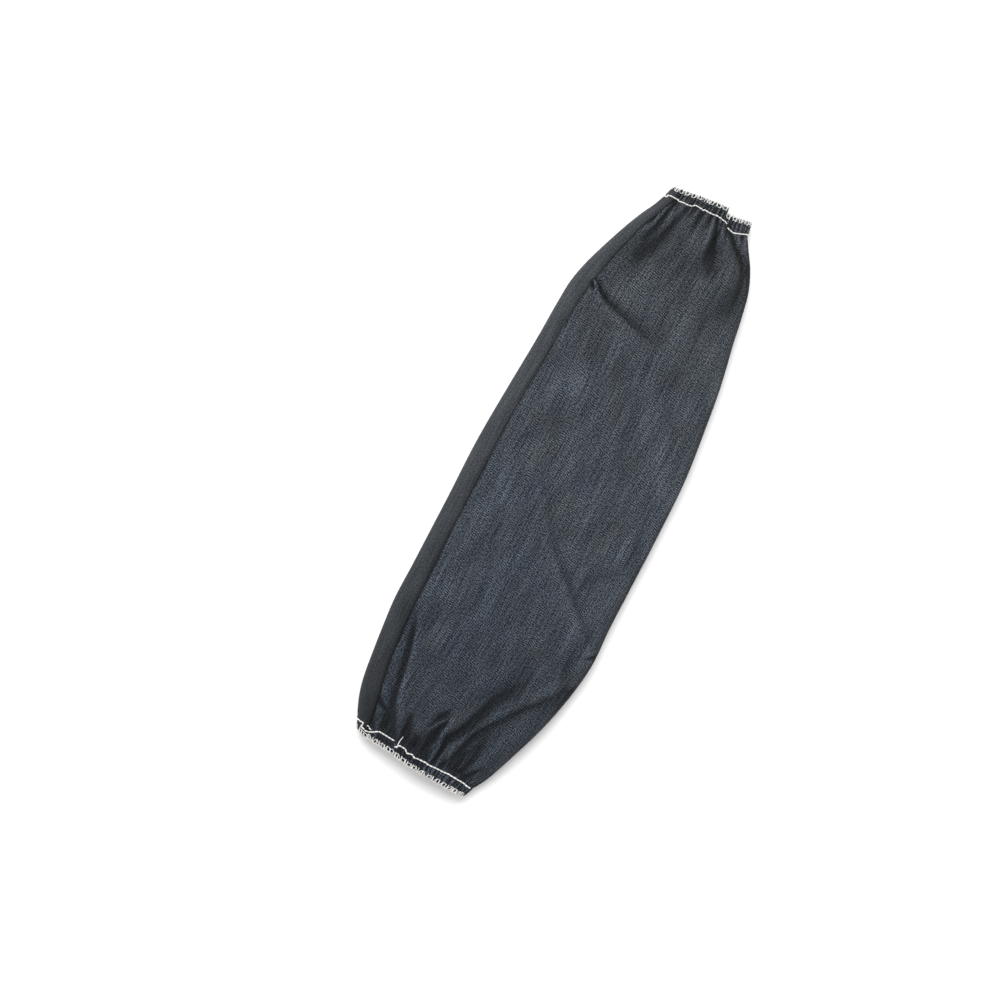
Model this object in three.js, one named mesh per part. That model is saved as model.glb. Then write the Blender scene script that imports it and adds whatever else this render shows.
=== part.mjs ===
// A denim welding sleeve lying flat on a table: one panel of cloth sewn into a hollow tube, with a lapped
// seam along its left edge and an elastic tape sewn inside each gathered mouth.
// Millimetres, +Z up. +Y runs from the upper arm's mouth to the wrist's mouth, and the origin is the middle
// of the base, on the table.
import * as THREE from "three";

// Driving dimensions.
const LENGTH = 457.2;
const CLOTH = 1.2;
const GAP = 0.3;
const SEAM_THICKNESS = 1;
const HEM_DEPTH = 8.5;
const ELASTIC = { width: 6.4, thickness: 1, margin: 1.6 };
const RIBS = { count: 20, depth: 1.6, uneven: 0.3, unevenCount: 7 };

// The tube's section at each station along its length: the left and right edges seen from above, the height
// of the crown over the table, the height at which the cloth turns back at either edge, and how much of the
// upper side the lapped seam covers.
const SECTIONS = [
  { y: -228.6, left: -53, right: 38.4, crown: 20, edge: 8, lap: 7 },
  { y: -220, left: -57, right: 41.9, crown: 21, edge: 8.2, lap: 10 },
  { y: -210, left: -60.3, right: 47, crown: 23.5, edge: 8.6, lap: 12.5 },
  { y: -200, left: -62.9, right: 50.7, crown: 26, edge: 9, lap: 14 },
  { y: -185, left: -65.8, right: 55.9, crown: 28.5, edge: 9.4, lap: 14.3 },
  { y: -168, left: -68.1, right: 61.7, crown: 30, edge: 9.8, lap: 13.6 },
  { y: -150, left: -70.3, right: 66.8, crown: 30, edge: 10, lap: 13.4 },
  { y: -128, left: -72.4, right: 71.4, crown: 29.5, edge: 10, lap: 13.8 },
  { y: -102, left: -72.6, right: 74.2, crown: 29, edge: 9.8, lap: 13.2 },
  { y: -75, left: -72.9, right: 72.8, crown: 28, edge: 9.6, lap: 12.4 },
  { y: -45, left: -73.3, right: 72.4, crown: 27, edge: 9.4, lap: 12.1 },
  { y: 0, left: -74.2, right: 71.8, crown: 26, edge: 9.2, lap: 12 },
  { y: 45, left: -72.7, right: 70, crown: 26, edge: 9, lap: 11 },
  { y: 85, left: -70.9, right: 65.2, crown: 26, edge: 9, lap: 11 },
  { y: 115, left: -70.2, right: 60.7, crown: 26.5, edge: 9, lap: 11.5 },
  { y: 130, left: -69.4, right: 57.7, crown: 26.5, edge: 9, lap: 12.2 },
  { y: 145, left: -66.4, right: 54.4, crown: 26.5, edge: 8.9, lap: 11.6 },
  { y: 165, left: -60.1, right: 50.7, crown: 26, edge: 8.6, lap: 9.4 },
  { y: 186, left: -52.4, right: 45.5, crown: 24.5, edge: 8.2, lap: 8 },
  { y: 200, left: -47, right: 39.1, crown: 22.5, edge: 7.8, lap: 7 },
  { y: 210, left: -42.8, right: 32.9, crown: 20, edge: 7.5, lap: 6.4 },
  { y: 220, left: -39.4, right: 27.6, crown: 18, edge: 7.2, lap: 6 },
  { y: 228.6, left: -37, right: 25.6, crown: 17, edge: 7, lap: 5.6 },
];

// How full the sections are: below 1 squares the edges off and flattens the crown.
const SIDE_FULLNESS = 0.9;
const CROWN_FULLNESS = 0.8;
// The underside lies flat but for this share of a quarter turn, in which it lifts to the edge.
const UNDERSIDE_LIFT = 0.55;
// How strongly the facets are drawn towards the two edges, so that they come out evenly spaced.
const EDGE_DRAW = 0.28;

// The two mouths, seen from above: where the rim runs at each point across. The wrist's rim steps back where
// the ends of its elastic are joined.
const ARM_RIM = [
  { x: -53, y: -220.4 },
  { x: -46, y: -223.2 },
  { x: -25, y: -224.3 },
  { x: -7, y: -226.8 },
  { x: 38.4, y: -228.6 },
];
const WRIST_RIM = [
  { x: -37, y: 223.6 },
  { x: -14, y: 226.6 },
  { x: 5.5, y: 228.6 },
  { x: 7.5, y: 223.6 },
  { x: 25.6, y: 227.9 },
];
// Length over which the slant of a mouth dies away into the tube.
const RIM_FADE = 45;

// Folds pressed into the upper side, each a valley from one point to another that bows sideways by bow at its
// middle. start and end are its depths near its two ends.
const FOLDS = [
  { name: "pinch", x0: -58, y0: 139.5, x1: 10, y1: 117, bow: -3.2, width: 6, start: 3.6, end: 0.5 },
  { name: "wrist_left", x0: -21, y0: 222, x1: -34, y1: 165, bow: -1, width: 4.5, start: 2, end: 0.8 },
  { name: "wrist_middle", x0: 6.5, y0: 222, x1: 19, y1: 176, bow: 2, width: 4.5, start: 2.2, end: 0.8 },
  { name: "wrist_right", x0: 15, y0: 217, x1: 42, y1: 172, bow: 7, width: 4, start: 2, end: 1.4 },
  { name: "arm_left", x0: -51, y0: -135, x1: -34, y1: -220, bow: 2.3, width: 4, start: 1.4, end: 2.8 },
  { name: "arm_notch", x0: -23, y0: -190, x1: -22, y1: -222, bow: 0, width: 3.5, start: 1, end: 2 },
  { name: "arm_middle", x0: 13, y0: -180, x1: 4, y1: -222, bow: 0, width: 4, start: 1.6, end: 1.6 },
  { name: "arm_right", x0: 37, y0: -142, x1: 9, y1: -192, bow: 1, width: 5, start: 1.2, end: 2.2 },
  { name: "arm_outer", x0: 61, y0: -126, x1: 17, y1: -196, bow: -1.5, width: 6, start: 1.6, end: 2.2 },
];
// Length over which a fold dies away at a hem.
const FOLD_FADE = 10;

// How deep the gathers run at each distance from a rim, as a share of their full depth.
const GATHERS = [
  { reach: 0, share: 1 },
  { reach: HEM_DEPTH, share: 1 },
  { reach: 24, share: 0.6 },
  { reach: 48, share: 0.2 },
  { reach: 75, share: 0 },
];

// Rows of facets along the tube, closer together where it is gathered or pinched.
const HALF = LENGTH / 2;
const SPANS = [
  { from: -HALF, to: -HALF + HEM_DEPTH, rows: 1 },
  { from: -HALF + HEM_DEPTH, to: -120, rows: 9 },
  { from: -120, to: -85, rows: 2 },
  { from: -85, to: 104, rows: 5 },
  { from: 104, to: 146, rows: 7 },
  { from: 146, to: HALF - HEM_DEPTH, rows: 7 },
  { from: HALF - HEM_DEPTH, to: HALF, rows: 1 },
];

// Facets round the tube, four for each rib of the gathers, and round the smooth elastic tapes.
const AROUND = RIBS.count * 4;
const TAPE_AROUND = AROUND / 2;

// The lapped seam starts this far under the left edge, in radians. It is crossed by this many points, and the
// gathers come back beside it over this many radians.
const SEAM = { under: -0.22, columns: 6, clear: 0.3 };

const { lerp, smoothstep, euclideanModulo } = THREE.MathUtils;
const TURN = 2 * Math.PI;

// Straight-line reading of a table: the value of one column where the key column reaches an amount.
function readTable(table, key, amount, column) {
  const above = table.findIndex((row) => row[key] >= amount);
  if (above === 0) return table[0][column];
  if (above < 0) return table[table.length - 1][column];
  const [low, high] = [table[above - 1], table[above]];
  return lerp(low[column], high[column], (amount - low[key]) / (high[key] - low[key]));
}

// Smooth reading of the sections, through every row of the table.
const SECTION_COLUMNS = ["left", "right", "crown", "edge", "lap"];
const sectionCurve = new THREE.CubicInterpolant(
  SECTIONS.map((row) => row.y),
  SECTIONS.flatMap((row) => SECTION_COLUMNS.map((column) => row[column])),
  SECTION_COLUMNS.length,
);

// The tube's own section at a station. The seam lies over its left edge, so the tube starts inside it.
function sectionAt(y) {
  const [left, right, crown, edge, lap] = sectionCurve.evaluate(y);
  const tubeLeft = left + GAP + SEAM_THICKNESS;
  const halfWidth = (right - tubeLeft) / 2;
  const lapAngle = Math.acos((1 - lap / halfWidth) ** (1 / SIDE_FULLNESS));
  return { middle: (tubeLeft + right) / 2, halfWidth, crown, edge, lapAngle };
}

// A point of the smooth tube's section. The angle runs round it from the left edge at 0, over the crown at a
// quarter turn, to the right edge at a half turn, and back underneath. inset draws the section in all round.
function sectionPoint(y, angle, inset) {
  const { middle, halfWidth, crown, edge } = sectionAt(y);
  const side = Math.cos(angle);
  const rise = Math.sin(angle);
  const x = middle - (halfWidth - inset) * Math.sign(side) * Math.abs(side) ** SIDE_FULLNESS;
  const lift = Math.max(0, 1 + rise / UNDERSIDE_LIFT) ** 2;
  const z = rise >= 0 ? lerp(edge, crown - inset, rise ** CROWN_FULLNESS) : lerp(inset, edge, lift);
  return new THREE.Vector2(x, z);
}

// The outward direction of the smooth tube, across its section.
function sectionNormal(y, angle) {
  const step = 0.03;
  const along = sectionPoint(y, angle + step, 0).sub(sectionPoint(y, angle - step, 0));
  return new THREE.Vector2(-along.y, along.x).normalize();
}

// Depth of all the folds at a point of the upper side. The hems stay clear of them.
function foldDepth(x, y) {
  const offHem = smoothstep(HALF - Math.abs(y), HEM_DEPTH, HEM_DEPTH + FOLD_FADE);
  const total = FOLDS.reduce((depth, fold) => {
    const chord = new THREE.Vector2(fold.x1 - fold.x0, fold.y1 - fold.y0);
    const from = new THREE.Vector2(x - fold.x0, y - fold.y0);
    const share = from.dot(chord) / chord.lengthSq();
    if (share <= 0 || share >= 1) return depth;
    const aside = chord.cross(from) / chord.length() - fold.bow * 4 * share * (1 - share);
    const ends = smoothstep(share, 0, 0.15) * (1 - smoothstep(share, 0.75, 1));
    return depth + lerp(fold.start, fold.end, share) * ends * Math.exp(-((aside / fold.width) ** 2));
  }, 0);
  return total * offHem;
}

// Depth of the gathers: ribs round each mouth that die away into the tube and spare the seam.
function ribDepth(y, turn, angle) {
  const share = readTable(GATHERS, "reach", HALF - Math.abs(y), "share");
  const { lapAngle } = sectionAt(y);
  const fromSeam = Math.min(angle - lapAngle, TURN + SEAM.under - angle);
  const rib = (1 - Math.cos(turn * RIBS.count * TURN)) / 2;
  const uneven = 1 - RIBS.uneven * (1 + Math.sin(turn * RIBS.unevenCount * TURN)) / 2;
  return RIBS.depth * share * rib * uneven * smoothstep(fromSeam, 0, SEAM.clear);
}

// How far a point is carried along Y by the slant of the mouths. The step shows on the upper side alone.
function rimShift(x, y, upper) {
  const slant = (rim) => readTable(upper ? rim : [rim[0], rim[rim.length - 1]], "x", x, "y");
  const atWrist = smoothstep(y, HALF - RIM_FADE, HALF);
  const atArm = smoothstep(-y, HALF - RIM_FADE, HALF);
  return atWrist * (slant(WRIST_RIM) - HALF) + atArm * (slant(ARM_RIM) + HALF);
}

// A point of the smooth tube in space, with the slant of the mouths.
function smoothPoint(y, angle, inset) {
  const { x, y: z } = sectionPoint(y, angle, inset);
  const upper = Math.sin(angle) > 0;
  return new THREE.Vector3(x, y + rimShift(sectionPoint(y, angle, 0).x, y, upper), z);
}

// The angle at a share of the way round, with the facets drawn towards the edges.
function angleAt(turn) {
  return turn * TURN + EDGE_DRAW * Math.sin(2 * turn * TURN);
}

// A point of the cloth, folds and gathers included.
function clothPoint(y, turn, inset) {
  const angle = euclideanModulo(angleAt(turn), TURN);
  const point = smoothPoint(y, angle, inset);
  const folds = angle < Math.PI ? foldDepth(sectionPoint(y, angle, 0).x, y) : 0;
  const depth = ribDepth(y, turn, angle) + folds;
  const outward = sectionNormal(y, angle);
  return point.sub(new THREE.Vector3(outward.x * depth, 0, outward.y * depth));
}

// A closed sheet of cloth or tape between an outer and an inner grid of points, columns across by rows along.
// It closes into a tube where wraps is true.
function thickSheet({ columns, rows, wraps, outer, inner }) {
  const positions = [];
  for (const layer of [outer, inner])
    for (let row = 0; row < rows; row++)
      for (let column = 0; column < columns; column++) positions.push(...layer(column, row));
  const faces = [];
  const at = (layer, column, row) => (layer * rows + row) * columns + (column % columns);
  const quad = (a, b, c, d) => faces.push(a, b, c, a, c, d);
  const across = wraps ? columns : columns - 1;
  const lastRow = rows - 1;
  const lastColumn = columns - 1;
  for (let i = 0; i < across; i++) {
    for (let j = 0; j < lastRow; j++) {
      quad(at(0, i, j), at(0, i + 1, j), at(0, i + 1, j + 1), at(0, i, j + 1));
      quad(at(1, i, j), at(1, i, j + 1), at(1, i + 1, j + 1), at(1, i + 1, j));
    }
    quad(at(1, i, 0), at(1, i + 1, 0), at(0, i + 1, 0), at(0, i, 0));
    quad(at(0, i, lastRow), at(0, i + 1, lastRow), at(1, i + 1, lastRow), at(1, i, lastRow));
  }
  for (let j = 0; !wraps && j < lastRow; j++) {
    quad(at(0, 0, j), at(0, 0, j + 1), at(1, 0, j + 1), at(1, 0, j));
    quad(at(0, lastColumn, j + 1), at(0, lastColumn, j), at(1, lastColumn, j), at(1, lastColumn, j + 1));
  }
  const geometry = new THREE.BufferGeometry();
  geometry.setAttribute("position", new THREE.Float32BufferAttribute(positions, 3));
  geometry.setIndex(faces);
  geometry.computeVertexNormals();
  return geometry;
}

// The stations of all the rows along the tube, from the arm's rim to the wrist's.
const STATIONS = SPANS.flatMap(({ from, to, rows }) =>
  Array.from({ length: rows }, (_, row) => lerp(from, to, row / rows)),
);
STATIONS.push(HALF);

const denim = new THREE.MeshStandardMaterial({ color: 0x3a4049, roughness: 0.9, metalness: 0 });
const seamDenim = new THREE.MeshStandardMaterial({ color: 0x454443, roughness: 0.85, metalness: 0 });
const elastic = new THREE.MeshStandardMaterial({ color: 0xd9d6cc, roughness: 0.8, metalness: 0 });

// The denim panel, sewn into a tube and gathered at both mouths.
function makeTube() {
  const layer = (inset) => (column, row) => clothPoint(STATIONS[row], column / AROUND, inset);
  const geometry = thickSheet({
    columns: AROUND,
    rows: STATIONS.length,
    wraps: true,
    outer: layer(0),
    inner: layer(CLOTH),
  });
  const tube = new THREE.Mesh(geometry, denim);
  tube.name = "sleeve_tube";
  return tube;
}

// The lapped seam along the left edge, a strip that lies over the tube between the two hems.
function makeSeam() {
  const stations = STATIONS.filter((y) => Math.abs(y) < HALF);
  const layer = (inset) => (column, row) => {
    const y = stations[row];
    const angle = lerp(SEAM.under, sectionAt(y).lapAngle, column / (SEAM.columns - 1));
    return smoothPoint(y, angle, inset);
  };
  const geometry = thickSheet({
    columns: SEAM.columns,
    rows: stations.length,
    wraps: false,
    outer: layer(-GAP - SEAM_THICKNESS),
    inner: layer(-GAP),
  });
  const seam = new THREE.Mesh(geometry, seamDenim);
  seam.name = "side_seam";
  return seam;
}

// An elastic tape, a smooth ring inside the gathers of one mouth. end is 1 at the wrist and -1 at the arm.
function makeElastic(name, end) {
  const outerEdge = HALF - ELASTIC.margin;
  const edges = [end * outerEdge, end * (outerEdge - ELASTIC.width)].sort((a, b) => a - b);
  const seat = CLOTH + RIBS.depth + GAP;
  const layer = (inset) => (column, row) => smoothPoint(edges[row], angleAt(column / TAPE_AROUND), inset);
  const geometry = thickSheet({
    columns: TAPE_AROUND,
    rows: edges.length,
    wraps: true,
    outer: layer(seat),
    inner: layer(seat + ELASTIC.thickness),
  });
  const tape = new THREE.Mesh(geometry, elastic);
  tape.name = name;
  return tape;
}

const sleeve = new THREE.Group();
sleeve.add(makeTube(), makeSeam(), makeElastic("wrist_elastic", 1), makeElastic("arm_elastic", -1));

export default sleeve;
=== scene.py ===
"""A denim welding sleeve lying flat, dressed over its solid frame.

Lengths in the tables are millimetres in the sleeve's own frame: +X across it away from the lapped seam,
+Y along it towards the wrist mouth, +Z up. Meshes go into Blender in metres.
"""

import logging
import math
from dataclasses import dataclass, field
from enum import Enum
from typing import NamedTuple

import bpy
import numpy as np
from numpy.typing import NDArray
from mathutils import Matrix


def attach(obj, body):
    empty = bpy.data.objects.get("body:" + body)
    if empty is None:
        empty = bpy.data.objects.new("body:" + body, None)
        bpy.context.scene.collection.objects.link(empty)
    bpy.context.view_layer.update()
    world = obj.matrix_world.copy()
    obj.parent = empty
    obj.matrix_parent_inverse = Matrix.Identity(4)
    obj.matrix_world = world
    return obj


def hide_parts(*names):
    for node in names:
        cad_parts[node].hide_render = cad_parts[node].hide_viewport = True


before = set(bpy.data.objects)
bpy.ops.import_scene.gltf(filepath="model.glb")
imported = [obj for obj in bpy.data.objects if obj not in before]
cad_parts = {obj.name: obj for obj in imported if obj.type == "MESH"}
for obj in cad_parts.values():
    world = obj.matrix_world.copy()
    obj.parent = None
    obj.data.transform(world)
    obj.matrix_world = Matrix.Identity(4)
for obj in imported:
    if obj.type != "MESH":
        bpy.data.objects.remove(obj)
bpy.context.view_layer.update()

LOG = logging.getLogger("denim_sleeve")
BODY = "root"
MM = 0.001
WEAVE_MAP = "weave"
# Point attribute of painted light and shade, read by the cloth's material to darken hollows and lighten
# ridges.
PAINTED_SHADING = "painted_shading"
SHARP_ANGLE = math.radians(62)

# Angles once round the sleeve, at which lengths are looked up.
ROUND = np.linspace(0, 2 * np.pi, 721)

# Steps along rows and columns from a grid's point round the quad that starts there.
QUAD = ((0, 0), (0, 1), (1, 1), (1, 0))

# Distance on the map between the starts of two tubes, in millimetres.
TUBE_SHIFT = 31.0

Array = NDArray[np.float64]
Indices = NDArray[np.int64]
Colour = tuple[float, float, float]
Socket = bpy.types.NodeSocket
Outputs = bpy.types.NodeOutputs
Value = Socket | float | tuple[float, ...]


class Mouth(Enum):
    """The sleeve's two open ends, by the sign of their side along Y."""

    WRIST = 1
    ARM = -1

    @property
    def label(self) -> str:
        """Name used for this mouth's pieces."""
        return self.name.lower()


class Section(NamedTuple):
    """One cross-section: its place, its outline's sides, its heights and the seam strip's width."""

    y: float
    left: float
    right: float
    crown: float
    edge: float
    lap: float


SECTIONS = (
    Section(-228.6, -53.0, 38.4, 20.0, 8.0, 7.0),
    Section(-220.0, -57.0, 41.9, 21.0, 8.2, 10.0),
    Section(-210.0, -60.3, 47.0, 23.5, 8.6, 12.5),
    Section(-200.0, -62.9, 50.7, 26.0, 9.0, 14.0),
    Section(-185.0, -65.8, 55.9, 28.5, 9.4, 14.3),
    Section(-168.0, -68.1, 61.7, 30.0, 9.8, 13.6),
    Section(-150.0, -70.3, 66.8, 30.0, 10.0, 13.4),
    Section(-128.0, -72.4, 71.4, 29.5, 10.0, 13.8),
    Section(-102.0, -72.6, 74.2, 29.0, 9.8, 13.2),
    Section(-75.0, -72.9, 72.8, 28.0, 9.6, 12.4),
    Section(-45.0, -73.3, 72.4, 27.0, 9.4, 12.1),
    Section(0.0, -74.2, 71.8, 26.0, 9.2, 12.0),
    Section(45.0, -72.7, 70.0, 26.0, 9.0, 11.0),
    Section(85.0, -70.9, 65.2, 26.0, 9.0, 11.0),
    Section(115.0, -70.2, 60.7, 26.5, 9.0, 11.5),
    Section(130.0, -69.4, 57.7, 26.5, 9.0, 12.2),
    Section(145.0, -66.4, 54.4, 26.5, 8.9, 11.6),
    Section(165.0, -60.1, 50.7, 26.0, 8.6, 9.4),
    Section(186.0, -52.4, 45.5, 24.5, 8.2, 8.0),
    Section(200.0, -47.0, 39.1, 22.5, 7.8, 7.0),
    Section(210.0, -42.8, 32.9, 20.0, 7.5, 6.4),
    Section(220.0, -39.4, 27.6, 18.0, 7.2, 6.0),
    Section(228.6, -37.0, 25.6, 17.0, 7.0, 5.6),
)

Line = tuple[tuple[float, float], ...]

# The rims and the rows of sewing on the upper side, as points (x, y) from the seam's side to the far side.
ARM_RIM: Line = ((-53.0, -220.4), (-46.0, -223.2), (-25.0, -224.3), (-7.0, -226.8), (38.4, -228.6))
WRIST_RIM: Line = ((-37.0, 223.6), (-14.0, 226.6), (5.5, 228.6), (7.5, 223.6), (25.6, 227.9))

WRIST_SEWING: tuple[Line, ...] = (
    ((-38.8, 215.4), (-36.4, 214.9), (-36.0, 216.7), (-29.3, 217.3), (-28.3, 216.1), (-18.0, 217.5),
     (-16.7, 219.2), (-9.7, 218.5), (-8.8, 219.4), (-5.8, 218.8), (1.3, 219.7), (6.4, 219.2), (9.6, 217.9)),
    ((11.4, 216.0), (16.8, 214.6), (27.0, 218.7)),
)
ARM_SEWING: tuple[Line, ...] = (
    ((-55.6, -215.4), (-49.2, -215.4), (-49.4, -218.6), (-47.0, -219.6), (-43.6, -219.6), (-36.9, -215.5),
     (-24.6, -216.1)),
    ((-22.4, -219.9), (-19.4, -217.4), (-14.6, -217.7), (-12.6, -219.5), (-8.4, -218.6), (-6.2, -219.7),
     (4.0, -218.8), (6.0, -219.4), (21.0, -218.7), (31.8, -219.5), (39.6, -221.2)),
)


def ease(value: Array, low: float, high: float) -> Array:
    """Rise smoothly from 0 at low to 1 at high."""
    share = np.clip((value - low) / (high - low), 0, 1)
    return share * share * (3 - 2 * share)


def signed_power(value: Array, power: float) -> Array:
    """Raise the size of numbers to a power and keep their signs."""
    return np.sign(value) * np.abs(value) ** power


def unit(vectors: Array) -> Array:
    """Scale vectors to length 1."""
    return vectors / np.maximum(np.linalg.norm(vectors, axis=-1, keepdims=True), 1e-12)


def smooth_curve(at: Array, knots: Array, values: Array) -> Array:
    """Read a smooth curve through knots.

    Between two knots the curve is the cubic that has their values and slopes. A knot's slope comes from its
    neighbours.

    Args:
        at: places to read.
        knots: rising places of the known values.
        values: the known values.

    Returns:
        The curve's value at each place.
    """
    slopes = np.gradient(values, knots)
    index = np.clip(np.searchsorted(knots, at) - 1, 0, len(knots) - 2)
    span = knots[index + 1] - knots[index]
    share = (at - knots[index]) / span
    rest = 1 - share
    start = rest * rest * (values[index] * (1 + 2 * share) + slopes[index] * span * share)
    end = share * share * (values[index + 1] * (1 + 2 * rest) - slopes[index + 1] * span * rest)
    return start + end


def along_line(line: Line, steps: int, smooth: bool = True) -> Array:
    """Walk a path through points at even distances.

    Args:
        line: points (x, y) that the path goes through.
        steps: number of points on the result.
        smooth: whether the path curves through its points or runs straight between them.

    Returns:
        An array of steps points.
    """
    points = np.array(line, dtype=float)
    walked = np.concatenate([[0.0], np.cumsum(np.linalg.norm(np.diff(points, axis=0), axis=1))])
    at = np.linspace(0, walked[-1], steps)
    if not smooth or len(points) == 2:
        return np.stack([np.interp(at, walked, column) for column in points.T], -1)
    return np.stack([smooth_curve(at, walked, column) for column in points.T], -1)


@dataclass(frozen=True)
class Fold:
    """A fold on the upper side, in millimetres: a valley along a path with a bank on each side.

    Attributes:
        path: points (x, y) that the bottom of the valley runs through.
        depth: depths at even steps along the path, negative for a ridge.
        left: width of the bank on the left of the path.
        right: width of the bank on the right of the path.
        spread: factors on both widths at the start and at the end of the path.
        steps: number of points on the smooth path.
        sharpness: power of the fall-off over a bank.
        swell: height of the low swell outside each bank, as a share of the depth.
        swell_at: place of that swell, in bank widths from the path.
        swell_width: width of that swell, in bank widths.
        cut_off: distance in bank widths past which there is no fold.
    """

    path: Line
    depth: tuple[float, ...]
    left: float
    right: float
    spread: tuple[float, float] = (1.0, 1.0)
    steps: int = 24
    sharpness: float = 1.5
    swell: float = 0.06
    swell_at: float = 2.2
    swell_width: float = 0.8
    cut_off: float = 4.0

    def depth_at(self, x: Array, y: Array) -> Array:
        """Work out how deep the fold is at points.

        The depth falls off from the path as exp(-(distance / bank width) to the power sharpness), and a low
        swell runs along the outside of each bank.

        Args:
            x: places across the sleeve.
            y: places along the sleeve.

        Returns:
            The depth at each place, 0 far from the fold.
        """
        path = along_line(self.path, self.steps)
        reach = self.cut_off * max(self.left, self.right) * max(self.spread)
        low = path.min(0) - reach
        high = path.max(0) + reach
        near = (x > low[0]) & (x < high[0]) & (y > low[1]) & (y < high[1])
        result = np.zeros_like(x)
        places = np.stack([x[near], y[near]], -1)[:, None, :]
        step = np.diff(path, axis=0)
        offset = places - path[:-1]
        share = np.clip((offset * step).sum(-1) / (step * step).sum(-1), 0, 1)
        away = offset - share[..., None] * step
        squares = (away * away).sum(-1)
        nearest = squares.argmin(-1)[:, None]
        turned = step[:, 0] * away[..., 1] - step[:, 1] * away[..., 0]
        distance = np.sqrt(np.take_along_axis(squares, nearest, 1)[:, 0])
        width = np.where(np.take_along_axis(turned, nearest, 1)[:, 0] > 0, self.left, self.right)
        along = (nearest + np.take_along_axis(share, nearest, 1))[:, 0] / len(step)
        depth = np.interp(along, np.linspace(0, 1, len(self.depth)), self.depth)
        bank = distance / (width * np.interp(along, (0, 1), self.spread))
        swell = self.swell * np.exp(-(((bank - self.swell_at) / self.swell_width) ** 2))
        result[near] = depth * (np.exp(-(bank**self.sharpness)) - swell)
        return result


@dataclass(frozen=True)
class Swell:
    """A soft round rise of the upper side, or a hollow where the height is negative, in millimetres."""

    x: float
    y: float
    wide: float
    long: float
    height: float

    def height_at(self, x: Array, y: Array) -> Array:
        """Height that falls off from the middle as exp(-(distance / size) squared)."""
        return self.height * np.exp(-(((x - self.x) / self.wide) ** 2) - ((y - self.y) / self.long) ** 2)


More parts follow.
